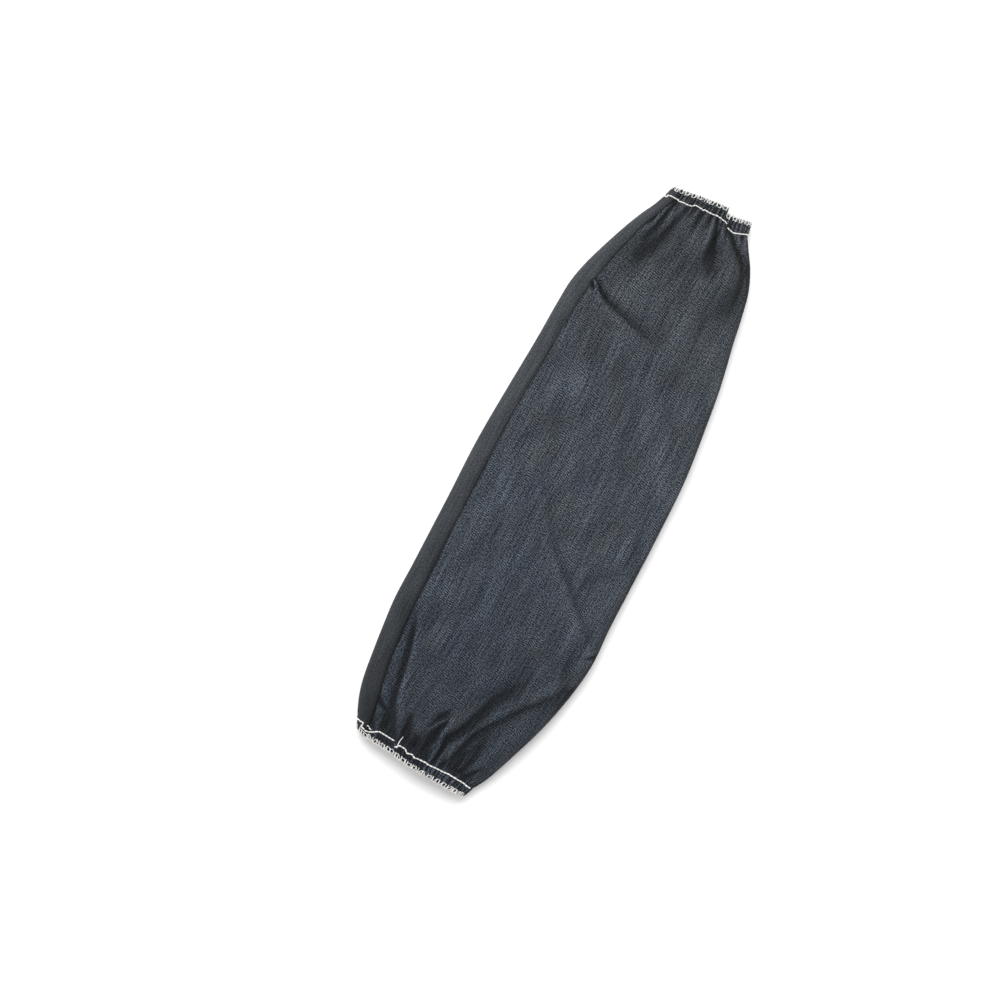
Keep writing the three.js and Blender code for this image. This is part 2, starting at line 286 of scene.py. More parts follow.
FOLDS: dict[str, Fold] = {
    "pinch": Fold(
        ((-53.5, 138.0), (-47.7, 133.7), (-41.7, 129.8), (-31.1, 126.6), (-7.4, 120.7), (11.0, 116.3)),
        (1.8, 3.4, 2.9, 2.4, 1.7, 0.0), 3.2, 2.1, (0.5, 2.6)),
    "pinch_hole": Fold(((-55.5, 134.6), (-52.7, 132.8)), (4.0, 2.4), 1.5, 1.5),
    "pinch_lip": Fold(((-55.0, 138.6), (-50.9, 134.2), (-49.6, 129.8)), (-1.0, -1.8, 0.0), 1.0, 1.0),
    "wrist_a": Fold(
        ((-29.6, 218.0), (-31.2, 210.0), (-33.2, 199.0), (-36.0, 187.0), (-40.5, 177.0)),
        (1.2, 2.6, 3.0, 2.2, 0.4), 2.0, 1.5, (0.8, 1.9)),
    "wrist_a_ridge": Fold(((-32.8, 214.0), (-34.8, 203.0), (-37.2, 190.0)), (-0.3, -1.2, 0.0), 1.3, 1.3),
    "wrist_slash": Fold(((-36.6, 205.0), (-38.6, 198.0), (-41.0, 189.0)), (0.0, 2.6, 0.0), 1.2, 1.2),
    "wrist_b": Fold(
        ((-20.4, 218.0), (-21.6, 211.0), (-24.0, 201.0), (-27.0, 189.0), (-30.4, 178.0), (-34.4, 168.0),
         (-38.0, 158.0)),
        (1.2, 1.6, 2.6, 4.0, 4.2, 3.4, 1.2), 2.8, 3.6, (0.5, 2.6)),
    "wrist_c1": Fold(((-15.4, 218.0), (-17.2, 207.0)), (2.4, 0.0), 1.5, 1.5),
    "wrist_c2": Fold(((-9.6, 218.0), (-11.2, 194.0)), (1.7, 0.0), 1.7, 1.9),
    "wrist_c3": Fold(((-2.4, 218.5), (-3.0, 205.0)), (1.5, 0.0), 1.5, 1.5),
    "wrist_d": Fold(
        ((1.6, 218.5), (4.6, 211.0), (6.2, 203.0), (7.4, 195.0), (8.6, 184.0)),
        (2.4, 4.2, 4.8, 4.2, 0.0), 1.7, 1.5, (0.8, 1.8)),
    "wrist_d_branch": Fold(
        ((6.4, 208.0), (9.6, 198.0), (12.4, 188.0), (15.4, 172.0)),
        (1.2, 4.2, 3.4, 0.0), 4.8, 4.8, (0.4, 1.6)),
    "wrist_e": Fold(
        ((11.5, 216.5), (16.0, 212.6), (24.0, 205.6), (31.0, 200.4), (36.6, 194.6), (39.4, 186.0),
         (40.6, 172.0), (41.5, 150.0)),
        (2.2, 3.6, 4.4, 4.8, 4.2, 3.6, 2.8, 0.6), 2.0, 2.4, (0.7, 4.0)),
    "wrist_edge": Fold(((23.8, 217.5), (28.6, 207.0)), (2.2, 0.0), 1.6, 1.6),
    "diagonal": Fold(
        ((-40.0, 9.0), (-21.6, -5.0), (-10.5, -14.0), (-1.0, -26.9), (7.5, -39.0), (16.0, -47.5),
         (27.0, -56.0), (41.0, -69.0), (56.7, -83.1), (69.5, -93.5)),
        (0.0, 0.1, 0.3, 0.45, 0.6, 0.7, 0.8, 0.85, 0.7, 0.3), 4.6, 2.2),
    "right_long": Fold(
        ((53.8, 26.0), (59.5, 0.0), (60.9, -27.6), (55.3, -41.0), (46.7, -48.0), (45.0, -62.0)),
        (0.0, 0.5, 0.6, 0.7, 0.5, 0.0), 3.6, 3.6),
    "edge_kink": Fold(((63.5, -103.0), (69.0, -100.5), (74.5, -96.0)), (0.2, 1.2, 2.3), 1.5, 1.2),
    "right_short": Fold(
        ((54.0, -99.0), (56.4, -106.5), (57.4, -114.4), (59.4, -128.0)), (0.2, 0.9, 0.8, 0.2), 4.0, 1.6),
    "arm_left": Fold(
        ((-52.0, -132.0), (-49.0, -142.0), (-44.6, -159.0), (-41.8, -174.0), (-39.0, -187.0), (-36.4, -199.0),
         (-34.6, -219.0)),
        (0.4, 2.8, 3.4, 2.8, 3.6, 4.6, 3.6), 1.5, 4.2, (0.8, 1.2)),
    "arm_left_wedge": Fold(
        ((-35.6, -190.0), (-32.2, -204.0), (-29.6, -219.0)), (0.6, 3.4, 3.8), 2.8, 2.8, (0.6, 1.7)),
    "arm_left_branch": Fold(((-47.5, -193.5), (-44.5, -197.5), (-40.5, -199.5)), (0.6, 2.8, 1.2), 1.6, 1.6),
    "arm_left_ridge": Fold(
        ((-54.0, -152.0), (-53.2, -172.0), (-48.6, -187.0), (-42.5, -191.5)),
        (0.0, -0.8, -1.4, 0.0), 1.6, 1.6),
    "arm_notch": Fold(
        ((-22.6, -195.0), (-20.4, -205.0), (-17.2, -219.0)), (1.2, 4.8, 4.4), 5.4, 4.2, (0.5, 1.6)),
    "arm_small": Fold(((0.4, -177.0), (-3.2, -184.0), (-7.2, -193.0)), (0.2, 2.4, 0.6), 2.6, 2.6),
    "arm_small_ridge": Fold(((-8.0, -201.0), (-3.0, -190.0), (2.4, -183.6)), (0.0, -1.2, -0.8), 1.2, 1.2),
    "arm_middle": Fold(
        ((2.4, -185.0), (0.4, -195.0), (-1.4, -205.0), (-3.0, -219.0)),
        (1.6, 4.6, 4.8, 3.6), 2.2, 5.8, (0.6, 1.5)),
    "arm_middle_ridge": Fold(
        ((4.4, -187.0), (3.2, -197.5), (5.3, -203.1), (4.7, -209.0), (3.5, -219.0)),
        (-0.3, -1.9, -2.5, -2.5, -1.4), 1.2, 1.2),
    "arm_right": Fold(
        ((7.0, -217.0), (7.4, -207.0), (8.2, -198.0), (12.6, -190.5), (17.4, -182.0), (21.0, -171.0),
         (24.0, -160.0), (29.5, -149.8), (37.0, -137.0)),
        (2.8, 3.8, 5.2, 5.0, 4.2, 3.8, 3.2, 2.6, 1.0), 2.8, 3.2, (0.6, 3.0)),
    "arm_right_ridge": Fold(((12.5, -178.0), (16.0, -166.0), (21.0, -152.0)), (-0.3, -1.0, 0.0), 2.4, 2.4),
    "arm_outer": Fold(
        ((17.4, -214.0), (18.6, -203.0), (21.6, -191.5), (27.0, -180.5), (34.0, -170.0), (45.4, -154.0),
         (55.3, -142.6), (66.0, -128.0)),
        (2.6, 3.2, 2.8, 2.4, 2.3, 2.3, 2.2, 1.4), 2.6, 7.0, (0.5, 1.6)),
    "arm_right_rib": Fold(((34.0, -170.0), (32.0, -190.0), (28.0, -213.0)), (0.0, 2.2, 2.6), 4.6, 5.4),
    "arm_corner": Fold(((42.0, -202.0), (36.5, -209.5), (31.0, -219.0)), (0.2, 2.6, 2.4), 2.3, 2.3),
    "arm_right_low": Fold(((24.4, -196.0), (23.2, -208.0), (22.8, -219.0)), (0.0, 2.6, 2.6), 2.0, 2.0),
    "arm_mid_low": Fold(((-12.0, -202.0), (-10.4, -219.0)), (0.0, 3.2), 2.4, 2.4),
    "arm_low_right": Fold(((13.4, -203.0), (13.0, -219.0)), (0.0, 2.8), 1.8, 1.8),
    "arm_strip_low": Fold(((-46.6, -202.0), (-45.0, -219.0)), (0.0, 2.4), 2.0, 2.0),
}

SWELLS: tuple[Swell, ...] = (
    Swell(21.0, -27.0, 15.0, 9.0, -0.5),
    Swell(-8.5, 1.0, 4.5, 9.0, 0.3),
    Swell(36.0, -46.0, 8.0, 4.0, 0.3),
    Swell(7.0, 188.0, 8.0, 11.0, -1.0),
    Swell(-7.0, 194.0, 9.0, 12.0, 0.9),
    Swell(-20.0, -170.0, 12.0, 20.0, 0.5),
)


@dataclass(frozen=True)
class Gathers:
    """Small uneven valleys that run from a gathered mouth into the cloth, in millimetres.

    Attributes:
        count: number of valleys round the mouth.
        depth: their usual depth.
        reach: how far they usually run past the hem.
        seed: start of the row of random numbers that makes them uneven.
        jitter: most that a valley is out of its place, in valleys.
        depths: least and most depth, in usual depths.
        reaches: spread of the reaches about the usual one.
        lean: usual lean aside for each millimetre inward.
        width: half width of a valley, in distances between valleys.
        widening: share by which a valley widens over its usual reach.
    """

    count: int
    depth: float
    reach: float
    seed: int
    jitter: float = 0.32
    depths: tuple[float, float] = (0.5, 1.35)
    reaches: float = 0.45
    lean: float = 0.12
    width: float = 0.27
    widening: float = 0.25

    def depth_at(self, turn: Array, inward: Array, around: float) -> Array:
        """Add up the valleys' depths.

        Each valley is depth x exp(-(distance aside / width) squared). It leans a little as it runs inward,
        widens, and dies away as exp(-(distance inward / reach) to the power 1.5).

        Args:
            turn: places round the mouth, from 0 to 1.
            inward: distances past the hem, 0 inside it.
            around: length once round the mouth.

        Returns:
            The depth at each place.
        """
        draw = np.random.default_rng(self.seed)
        places = (np.arange(self.count) + draw.uniform(-self.jitter, self.jitter, self.count)) / self.count
        depths = self.depth * draw.uniform(*self.depths, self.count)
        reaches = self.reach * draw.lognormal(0.0, self.reaches, self.count)
        leans = draw.normal(0.0, self.lean, self.count)
        width = self.width * around / self.count * (1 + self.widening * inward / self.reach)
        total = np.zeros(np.broadcast(turn, inward).shape)
        for place, depth, reach, lean in zip(places, depths, reaches, leans):
            aside = ((turn - place + 0.5) % 1 - 0.5) * around - lean * inward
            total += depth * np.exp(-((aside / width) ** 2) - (inward / reach) ** 1.5)
        return total


@dataclass(frozen=True)
class MouthForm:
    """What shapes one mouth: its rim, its rows of sewing and its gathers."""

    rim: Line
    sewing: tuple[Line, ...]
    ribs: Gathers
    gathers: Gathers


MOUTHS: dict[Mouth, MouthForm] = {
    Mouth.WRIST: MouthForm(WRIST_RIM, WRIST_SEWING, Gathers(70, 1.2, 7.0, 11), Gathers(19, 1.2, 17.0, 12)),
    Mouth.ARM: MouthForm(ARM_RIM, ARM_SEWING, Gathers(78, 1.4, 8.0, 21), Gathers(27, 1.5, 17.0, 22)),
}


class Outline(NamedTuple):
    """The sections' sizes read at some stations."""

    middle: Array
    half: Array
    crown: Array
    edge: Array
    lap_angle: Array


@dataclass
class SleeveForm:
    """The shape of the cloth, in millimetres, as a function of a station along it and an angle round it.

    The angle is 0 at the seam's edge, a quarter turn at the crown and a half turn at the far edge.

    Attributes:
        side_fullness: power of the cosine that places points across the sleeve.
        crown_fullness: power of the sine that lifts the upper side.
        underside_lift: sine below the edge at which the underside meets the floor.
        seam_room: how far the cloth stays inside the outline at the seam's edge.
        seam_under: angle on the underside at which the seam strip starts.
        upper_fade: sines between which the folds of the upper side fade in.
        tight_angle: angle at the seam strip where nothing is gathered.
        hem_press: share of the folds that the elastic presses flat.
    """

    half_length: float = 228.6
    hem: float = 8.5
    side_fullness: float = 0.9
    crown_fullness: float = 0.8
    underside_lift: float = 0.55
    seam_room: float = 1.3
    seam_gap: float = 0.25
    seam_thickness: float = 1.0
    seam_under: float = -0.22
    rim_fade: float = 45.0
    upper_fade: tuple[float, float] = (-0.02, 0.3)
    under_fade: float = 0.3
    tight_angle: float = 0.25
    tight_span: tuple[float, float] = (0.1, 0.5)
    hem_raise: float = 1.0
    hem_limit: float = 2.0
    hem_press: float = 0.75
    hem_soft: float = 1.5
    hem_blend: float = 6.0
    sewn_groove: float = 0.4
    groove_width: float = 1.1
    wave_height: float = 0.1
    wave_lengths: tuple[float, float] = (20.0, 70.0)
    wave_count: int = 18
    wave_seed: int = 5
    knots: Array = field(init=False)

    def __post_init__(self) -> None:
        """Keep the section table as an array."""
        self.knots = np.array(SECTIONS)

    def outline(self, y: Array) -> Outline:
        """Read the section table at stations.

        Args:
            y: stations along the sleeve.

        Returns:
            The tube's middle, half width, heights and the angle at which the seam strip ends.
        """
        places, *columns = self.knots.T
        left, right, crown, edge, lap = (smooth_curve(y, places, column) for column in columns)
        left = left + self.seam_room
        half = (right - left) / 2
        lap_angle = np.arccos((1 - lap / half) ** (1 / self.side_fullness))
        return Outline((left + right) / 2, half, crown, edge, lap_angle)

    def section(self, y: Array, angle: Array) -> tuple[Array, Array]:
        """Place points on the smooth tube.

        Across, the point goes as the cosine to the power side_fullness. Above the edge it rises as the sine
        to the power crown_fullness, and below the edge it falls to the floor as a square.

        Args:
            y: stations along the sleeve.
            angle: angles round it.

        Returns:
            The places across and the heights.
        """
        outline = self.outline(y)
        side = np.cos(angle)
        rise = np.sin(angle)
        x = outline.middle - outline.half * signed_power(side, self.side_fullness)
        above = outline.edge + (outline.crown - outline.edge) * np.clip(rise, 0, None) ** self.crown_fullness
        below = outline.edge * np.clip(1 + rise / self.underside_lift, 0, 1) ** 2
        return x, np.where(rise >= 0, above, below)

    def outward(self, y: Array, angle: Array) -> tuple[Array, Array]:
        """Work out the outward direction of the section, at right angles to a short step round it.

        Args:
            y: stations along the sleeve.
            angle: angles round it.

        Returns:
            The direction's parts along X and Z.
        """
        step = 0.004
        x0, z0 = self.section(y, angle - step)
        x1, z1 = self.section(y, angle + step)
        along = unit(np.stack([x1 - x0, z1 - z0], -1))
        return -along[..., 1], along[..., 0]

    def rim_shift(self, y: Array, x: Array, above: Array) -> Array:
        """Slide along Y that gives each mouth its uneven rim.

        The full slide is at the rim and it fades out over rim_fade. The upper side follows the rim's table,
        and the underside the straight line between its ends.

        Args:
            y: stations along the sleeve.
            x: places across it.
            above: whether each place is on the upper side.

        Returns:
            The slide at each place.
        """
        total = np.zeros(np.broadcast(y, x).shape)
        for mouth, form in MOUTHS.items():
            rim = np.array(form.rim)
            ends = rim[[0, -1]]
            upper = np.interp(x, rim[:, 0], rim[:, 1])
            lower = np.interp(x, ends[:, 0], ends[:, 1])
            fade = ease(mouth.value * y, self.half_length - self.rim_fade, self.half_length)
            total += fade * (np.where(above, upper, lower) - mouth.value * self.half_length)
        return total

    def around(self, y: Array, angles: Array) -> Array:
        """Measure the distance round the smooth tube from the first angle.

        Args:
            y: stations along the sleeve, a row for each.
            angles: angles round it, a column for each.

        Returns:
            The sum of the short steps up to each angle.
        """
        x, z = self.section(y, angles)
        steps = np.hypot(np.diff(x, axis=1), np.diff(z, axis=1))
        return np.concatenate([np.zeros((len(steps), 1)), np.cumsum(steps, axis=1)], 1)

    def turn(self, mouth: Mouth, angle: Array) -> tuple[Array, float]:
        """Share of the way round a mouth at each angle, and the length round that mouth."""
        lengths = self.around(np.array([[mouth.value * self.half_length]]), ROUND[None, :])[0]
        return np.interp(angle % (2 * np.pi), ROUND, lengths / lengths[-1]), lengths[-1]

    def waves(self, x: Array, y: Array) -> Array:
        """Add up the slack of the lying cloth: faint sine waves in all directions, the long ones higher.

        Args:
            x: places across the sleeve.
            y: places along the sleeve.

        Returns:
            The waves' depth at each place.
        """
        draw = np.random.default_rng(self.wave_seed)
        lengths = draw.uniform(*self.wave_lengths, self.wave_count)
        ways = draw.uniform(0, np.pi, self.wave_count)
        starts = draw.uniform(0, 2 * np.pi, self.wave_count)
        total = np.zeros(np.broadcast(x, y).shape)
        for length, way, start in zip(lengths, ways, starts):
            phase = 2 * np.pi * (x * math.cos(way) + y * math.sin(way)) / length + start
            total += self.wave_height * length / np.mean(self.wave_lengths) * np.sin(phase)
        return total

    def fold_depth(self, y: Array, angle: Array) -> Array:
        """Add up the folds' depths on the upper side, fading out over its edges.

        Args:
            y: stations along the sleeve.
            angle: angles round it.

        Returns:
            The depth at each place.
        """
        x, _ = self.section(y, angle)
        rise = np.sin(angle)
        place = y + self.rim_shift(y, x, rise >= 0)
        return sum(fold.depth_at(x, place) for fold in FOLDS.values()) * ease(rise, *self.upper_fade)

    def dents(self, y: Array, angle: Array) -> Array:
        """Add up everything that moves the cloth in or out of the smooth tube.

        Folds, swells and waves act on the upper side and fade out over its edges. Ribs and gathers run all
        round each mouth, and in the hems only the ribs keep their full depth. A groove runs under each row of
        sewing, and the underside of a hem is raised by its thread. In the hems the depth is held under
        hem_limit, so that the cloth stays clear of the elastic. The underside never goes below the floor.

        Args:
            y: stations along the sleeve.
            angle: angles round it.

        Returns:
            The outward displacement at each place.
        """
        y, angle = np.broadcast_arrays(y, angle)
        x, _ = self.section(y, angle)
        rise = np.sin(angle)
        place = y + self.rim_shift(y, x, rise >= 0)
        slack = self.waves(x, place) - sum(swell.height_at(x, place) for swell in SWELLS)
        depth = self.fold_depth(y, angle) + slack * ease(rise, *self.upper_fade)
        aside = np.abs(angle - self.tight_angle)
        clear = ease(np.minimum(aside, np.abs(aside - 2 * np.pi)), *self.tight_span)
        for mouth, form in MOUTHS.items():
            from_rim = self.half_length - mouth.value * y
            inward = np.clip(from_rim - self.hem, 0, None)
            turn, around = self.turn(mouth, angle)
            pressed = 1 - ease(from_rim, self.hem - self.hem_soft, self.hem + self.hem_soft)
            flatter = 1 - self.hem_press * pressed
            ribs = form.ribs.depth_at(turn, inward, around)
            gathers = form.gathers.depth_at(turn, inward, around)
            groove = self.sewn_groove * np.exp(-(((from_rim - self.hem) / self.groove_width) ** 2))
            depth = depth * flatter + (ribs + gathers * flatter) * clear + groove
            in_hem = 1 - ease(from_rim, self.hem, self.hem + self.hem_blend)
            held = self.hem_limit * np.tanh(depth / self.hem_limit)
            depth = depth + in_hem * (held - depth)
            raised = self.hem_raise * in_hem * ease(-rise, 0.0, self.under_fade)
            depth = np.where(rise < 0, np.maximum(depth, raised), depth)
        return -depth

    def cloth(self, y: Array, angle: Array, inset: float | Array = 0.0, dented: bool = True) -> Array:
        """Place points on the cloth, or under or over it.

        Args:
            y: stations along the sleeve.
            angle: angles round it.
            inset: distance inwards from the outer face.
            dented: whether the cloth is dented or smooth.

        Returns:
            The points, with x, y and z last.
        """
        y, angle = np.broadcast_arrays(np.asarray(y, float), np.asarray(angle, float))
        x, z = self.section(y, angle)
        out_x, out_z = self.outward(y, angle)
        shift = self.rim_shift(y, x, np.sin(angle) >= 0)
        push = (self.dents(y, angle) if dented else 0.0) - inset
        return np.stack([x + out_x * push, y + shift, z + out_z * push], -1)

    def seam_height(self, y: Array, angle: Array) -> Array:
        """Work out how high the seam strip's top stands over the cloth.

        Across the strip the height is gap + thickness x (1 - |w| to the power 6) to the power 0.5, with w
        from -1 at one edge to 1 at the other.

        Args:
            y: stations along the sleeve.
            angle: angles round it.

        Returns:
            The height at each place, 0 beside the strip.
        """
        wrapped = (angle + np.pi) % (2 * np.pi) - np.pi
        lap = self.outline(y).lap_angle
        across = np.clip(2 * (wrapped - self.seam_under) / (lap - self.seam_under) - 1, -1, 1)
        on_strip = np.abs(across) < 1
        return on_strip * (self.seam_gap + self.seam_thickness * (1 - across**6) ** 0.5)

    def upper_place(self, x: Array, y: Array) -> tuple[Array, Array]:
        """Find places on the upper side, undoing the rim's slide in a few steps.

        Args:
            x: places across the sleeve.
            y: places along the sleeve.

        Returns:
            The stations and the angles of those places.
        """
        station = np.array(y, dtype=float)
        for _ in range(6):
            station = y - self.rim_shift(station, x, np.ones_like(x, dtype=bool))
        outline = self.outline(station)
        side = np.clip((outline.middle - x) / outline.half, -1, 1)
        return station, np.arccos(signed_power(side, 1 / self.side_fullness))

    def faces_out(self, y: Array, angle: Array) -> Array:
        """Work out the outward direction of the dented cloth, at right angles to short steps on it.

        Args:
            y: stations along the sleeve.
            angle: angles round it.

        Returns:
            The direction at each place.
        """
        step_angle = 0.01
        step_y = 0.4
        round_it = self.cloth(y, angle + step_angle) - self.cloth(y, angle - step_angle)
        along_it = self.cloth(y + step_y, angle) - self.cloth(y - step_y, angle)
        return unit(np.cross(round_it, along_it))


@dataclass
class Surface:
    """Points, faces and map of one piece, collected as whole arrays in millimetres."""

    points: list[Array] = field(default_factory=list)
    corners: list[Indices] = field(default_factory=list)
    maps: list[Array] = field(default_factory=list)
    slots: list[int] = field(default_factory=list)
    size: int = 0

    def add_points(self, points: Array) -> int:
        """Add points.

        Args:
            points: the points, with x, y and z last.

        Returns:
            The number of the first one.
        """
        first = self.size
        flat = points.reshape(-1, 3)
        self.points.append(flat)
        self.size += len(flat)
        return first

    def add_faces(self, corners: Indices, places: Array, slot: int = 0) -> None:
        """Add faces with the same number of corners.

        Args:
            corners: point numbers, a row for each face.
            places: map places in millimetres, for each corner of each face.
            slot: material slot of the faces.
        """
        self.corners.append(corners)
        self.maps.append(places * MM)
        self.slots.append(slot)

    def add_grid(
        self, points: Array, places: Array, looped: bool = False, inside: bool = False, slot: int = 0
    ) -> int:
        """Add a grid of points with its quads, whose last column joins the first.

        Args:
            points: rows and columns of points.
            places: map places, with one more column than the points, and one more row if it is looped.
            looped: whether the last row joins the first too.
            inside: whether the faces point the other way.
            slot: material slot of the faces.

        Returns:
            The number of the grid's first point.
        """
        first = self.add_points(points)
        rows, columns = points.shape[:2]
        row, column = np.meshgrid(np.arange(rows - (not looped)), np.arange(columns), indexing="ij")
        around = QUAD[::-1] if inside else QUAD
        corners = [first + (row + down) % rows * columns + (column + over) % columns for down, over in around]
        spots = [places[row + down, column + over].reshape(-1, 2) for down, over in around]
        self.add_faces(np.stack(corners, -1).reshape(-1, 4), np.stack(spots, 1), slot)
        return first

    def make(self, name: str) -> bpy.types.Object:
        """Put the arrays into a smooth-shaded mesh object with a map.

        Args:
            name: name of the piece.

        Returns:
            The new object, linked to the scene.
        """
        mesh = bpy.data.meshes.new(name)
        points = np.concatenate(self.points) * MM
        corners = np.concatenate([part.ravel() for part in self.corners])
        totals = np.concatenate([np.full(len(part), part.shape[1]) for part in self.corners])
        slots = np.concatenate([np.full(len(part), slot) for part, slot in zip(self.corners, self.slots)])
        mesh.vertices.add(len(points))
        mesh.vertices.foreach_set("co", points.ravel())
        mesh.loops.add(len(corners))
        mesh.loops.foreach_set("vertex_index", corners)
        mesh.polygons.add(len(totals))
        mesh.polygons.foreach_set("loop_start", np.cumsum(totals) - totals)
        mesh.polygons.foreach_set("material_index", slots)
        weave = mesh.uv_layers.new(name=WEAVE_MAP)
        weave.uv.foreach_set("vector", np.concatenate([part.reshape(-1, 2) for part in self.maps]).ravel())
        mesh.update(calc_edges=True)
        mesh.shade_smooth()
        mesh.set_sharp_from_angle(angle=SHARP_ANGLE)
        piece = bpy.data.objects.new(name, mesh)
        bpy.context.scene.collection.objects.link(piece)
        return piece


def add_tubes(surface: Surface, paths: Array, up: Array, radius: Array, sides: int) -> None:
    """Carry a round profile along many paths at once.

    A ring's points lie at the path's point + radius x (up x cos a + across x sin a), for even angles a. Both
    ends are closed.

    Args:
        surface: the piece to add to.
        paths: points of each path, path by path.
        up: a direction at each point that isn't along the path.
        radius: the profile's radius at each point.
        sides: number of points on a ring.
    """
    count, steps = paths.shape[:2]
    ahead = unit(np.gradient(paths, axis=1))
    across = unit(np.cross(ahead, up))
    above = np.cross(across, ahead)
    angle = (2 * np.pi * np.arange(sides) / sides)[:, None]
    ring = above[:, :, None, :] * np.cos(angle) + across[:, :, None, :] * np.sin(angle)
    points = paths[:, :, None, :] + radius[:, :, None, None] * ring
    first = surface.add_points(points)
    path, step, side = np.meshgrid(np.arange(count), np.arange(steps - 1), np.arange(sides), indexing="ij")
    walked = np.cumsum(np.linalg.norm(np.diff(paths, axis=1, prepend=paths[:, :1]), axis=2), axis=1)
    corners = []
    places = []
    for forward, over in QUAD:
        corners.append(first + (path * steps + step + forward) * sides + (side + over) % sides)
        spot = np.stack([walked[path, step + forward] + TUBE_SHIFT * path, (side + over) / sides], -1)
        places.append(spot.reshape(-1, 2))
    surface.add_faces(np.stack(corners, -1).reshape(-1, 4), np.stack(places, 1))
    ends = first + np.arange(count)[:, None] * steps * sides + np.arange(sides)
    flat = np.zeros((count, sides, 2))
    surface.add_faces(ends[:, ::-1], flat)
    surface.add_faces(ends + (steps - 1) * sides, flat)


class Grain(NamedTuple):
    """A noise in a material: its waves for each unit across and along, its layers, and its range.

    Values from low to high are mapped onto start to end.
    """

    across: float
    along: float
    detail: float
    roughness: float
    low: float
    high: float
    start: float = 0.0
    end: float = 1.0


# The weave: how many rows of twill drift aside, how clear they are, and the specks for each yarn and row.
ROW_DRIFT = Grain(190.0, 34.0, 2.0, 0.65, 0.0, 1.0, end=3.0)
ROW_CLEARNESS = Grain(120.0, 60.0, 2.0, 0.5, 0.35, 0.65, start=0.2, end=0.8)
SPECKS = Grain(1.0, 1.3, 1.0, 0.7, 0.33, 0.67)

# The uneven dye, on a map in metres with Y along the yarns.
DYE: dict[str, Grain] = {
    "Streak": Grain(1000.0, 26.0, 1.0, 0.6, 0.28, 0.72),
    "Mottle": Grain(75.0, 24.0, 3.0, 0.6, 0.3, 0.7),
    "Patch": Grain(700.0, 420.0, 2.0, 0.5, 0.35, 0.65),
    "Cloud": Grain(34.0, 22.0, 2.0, 0.6, 0.3, 0.7),
}


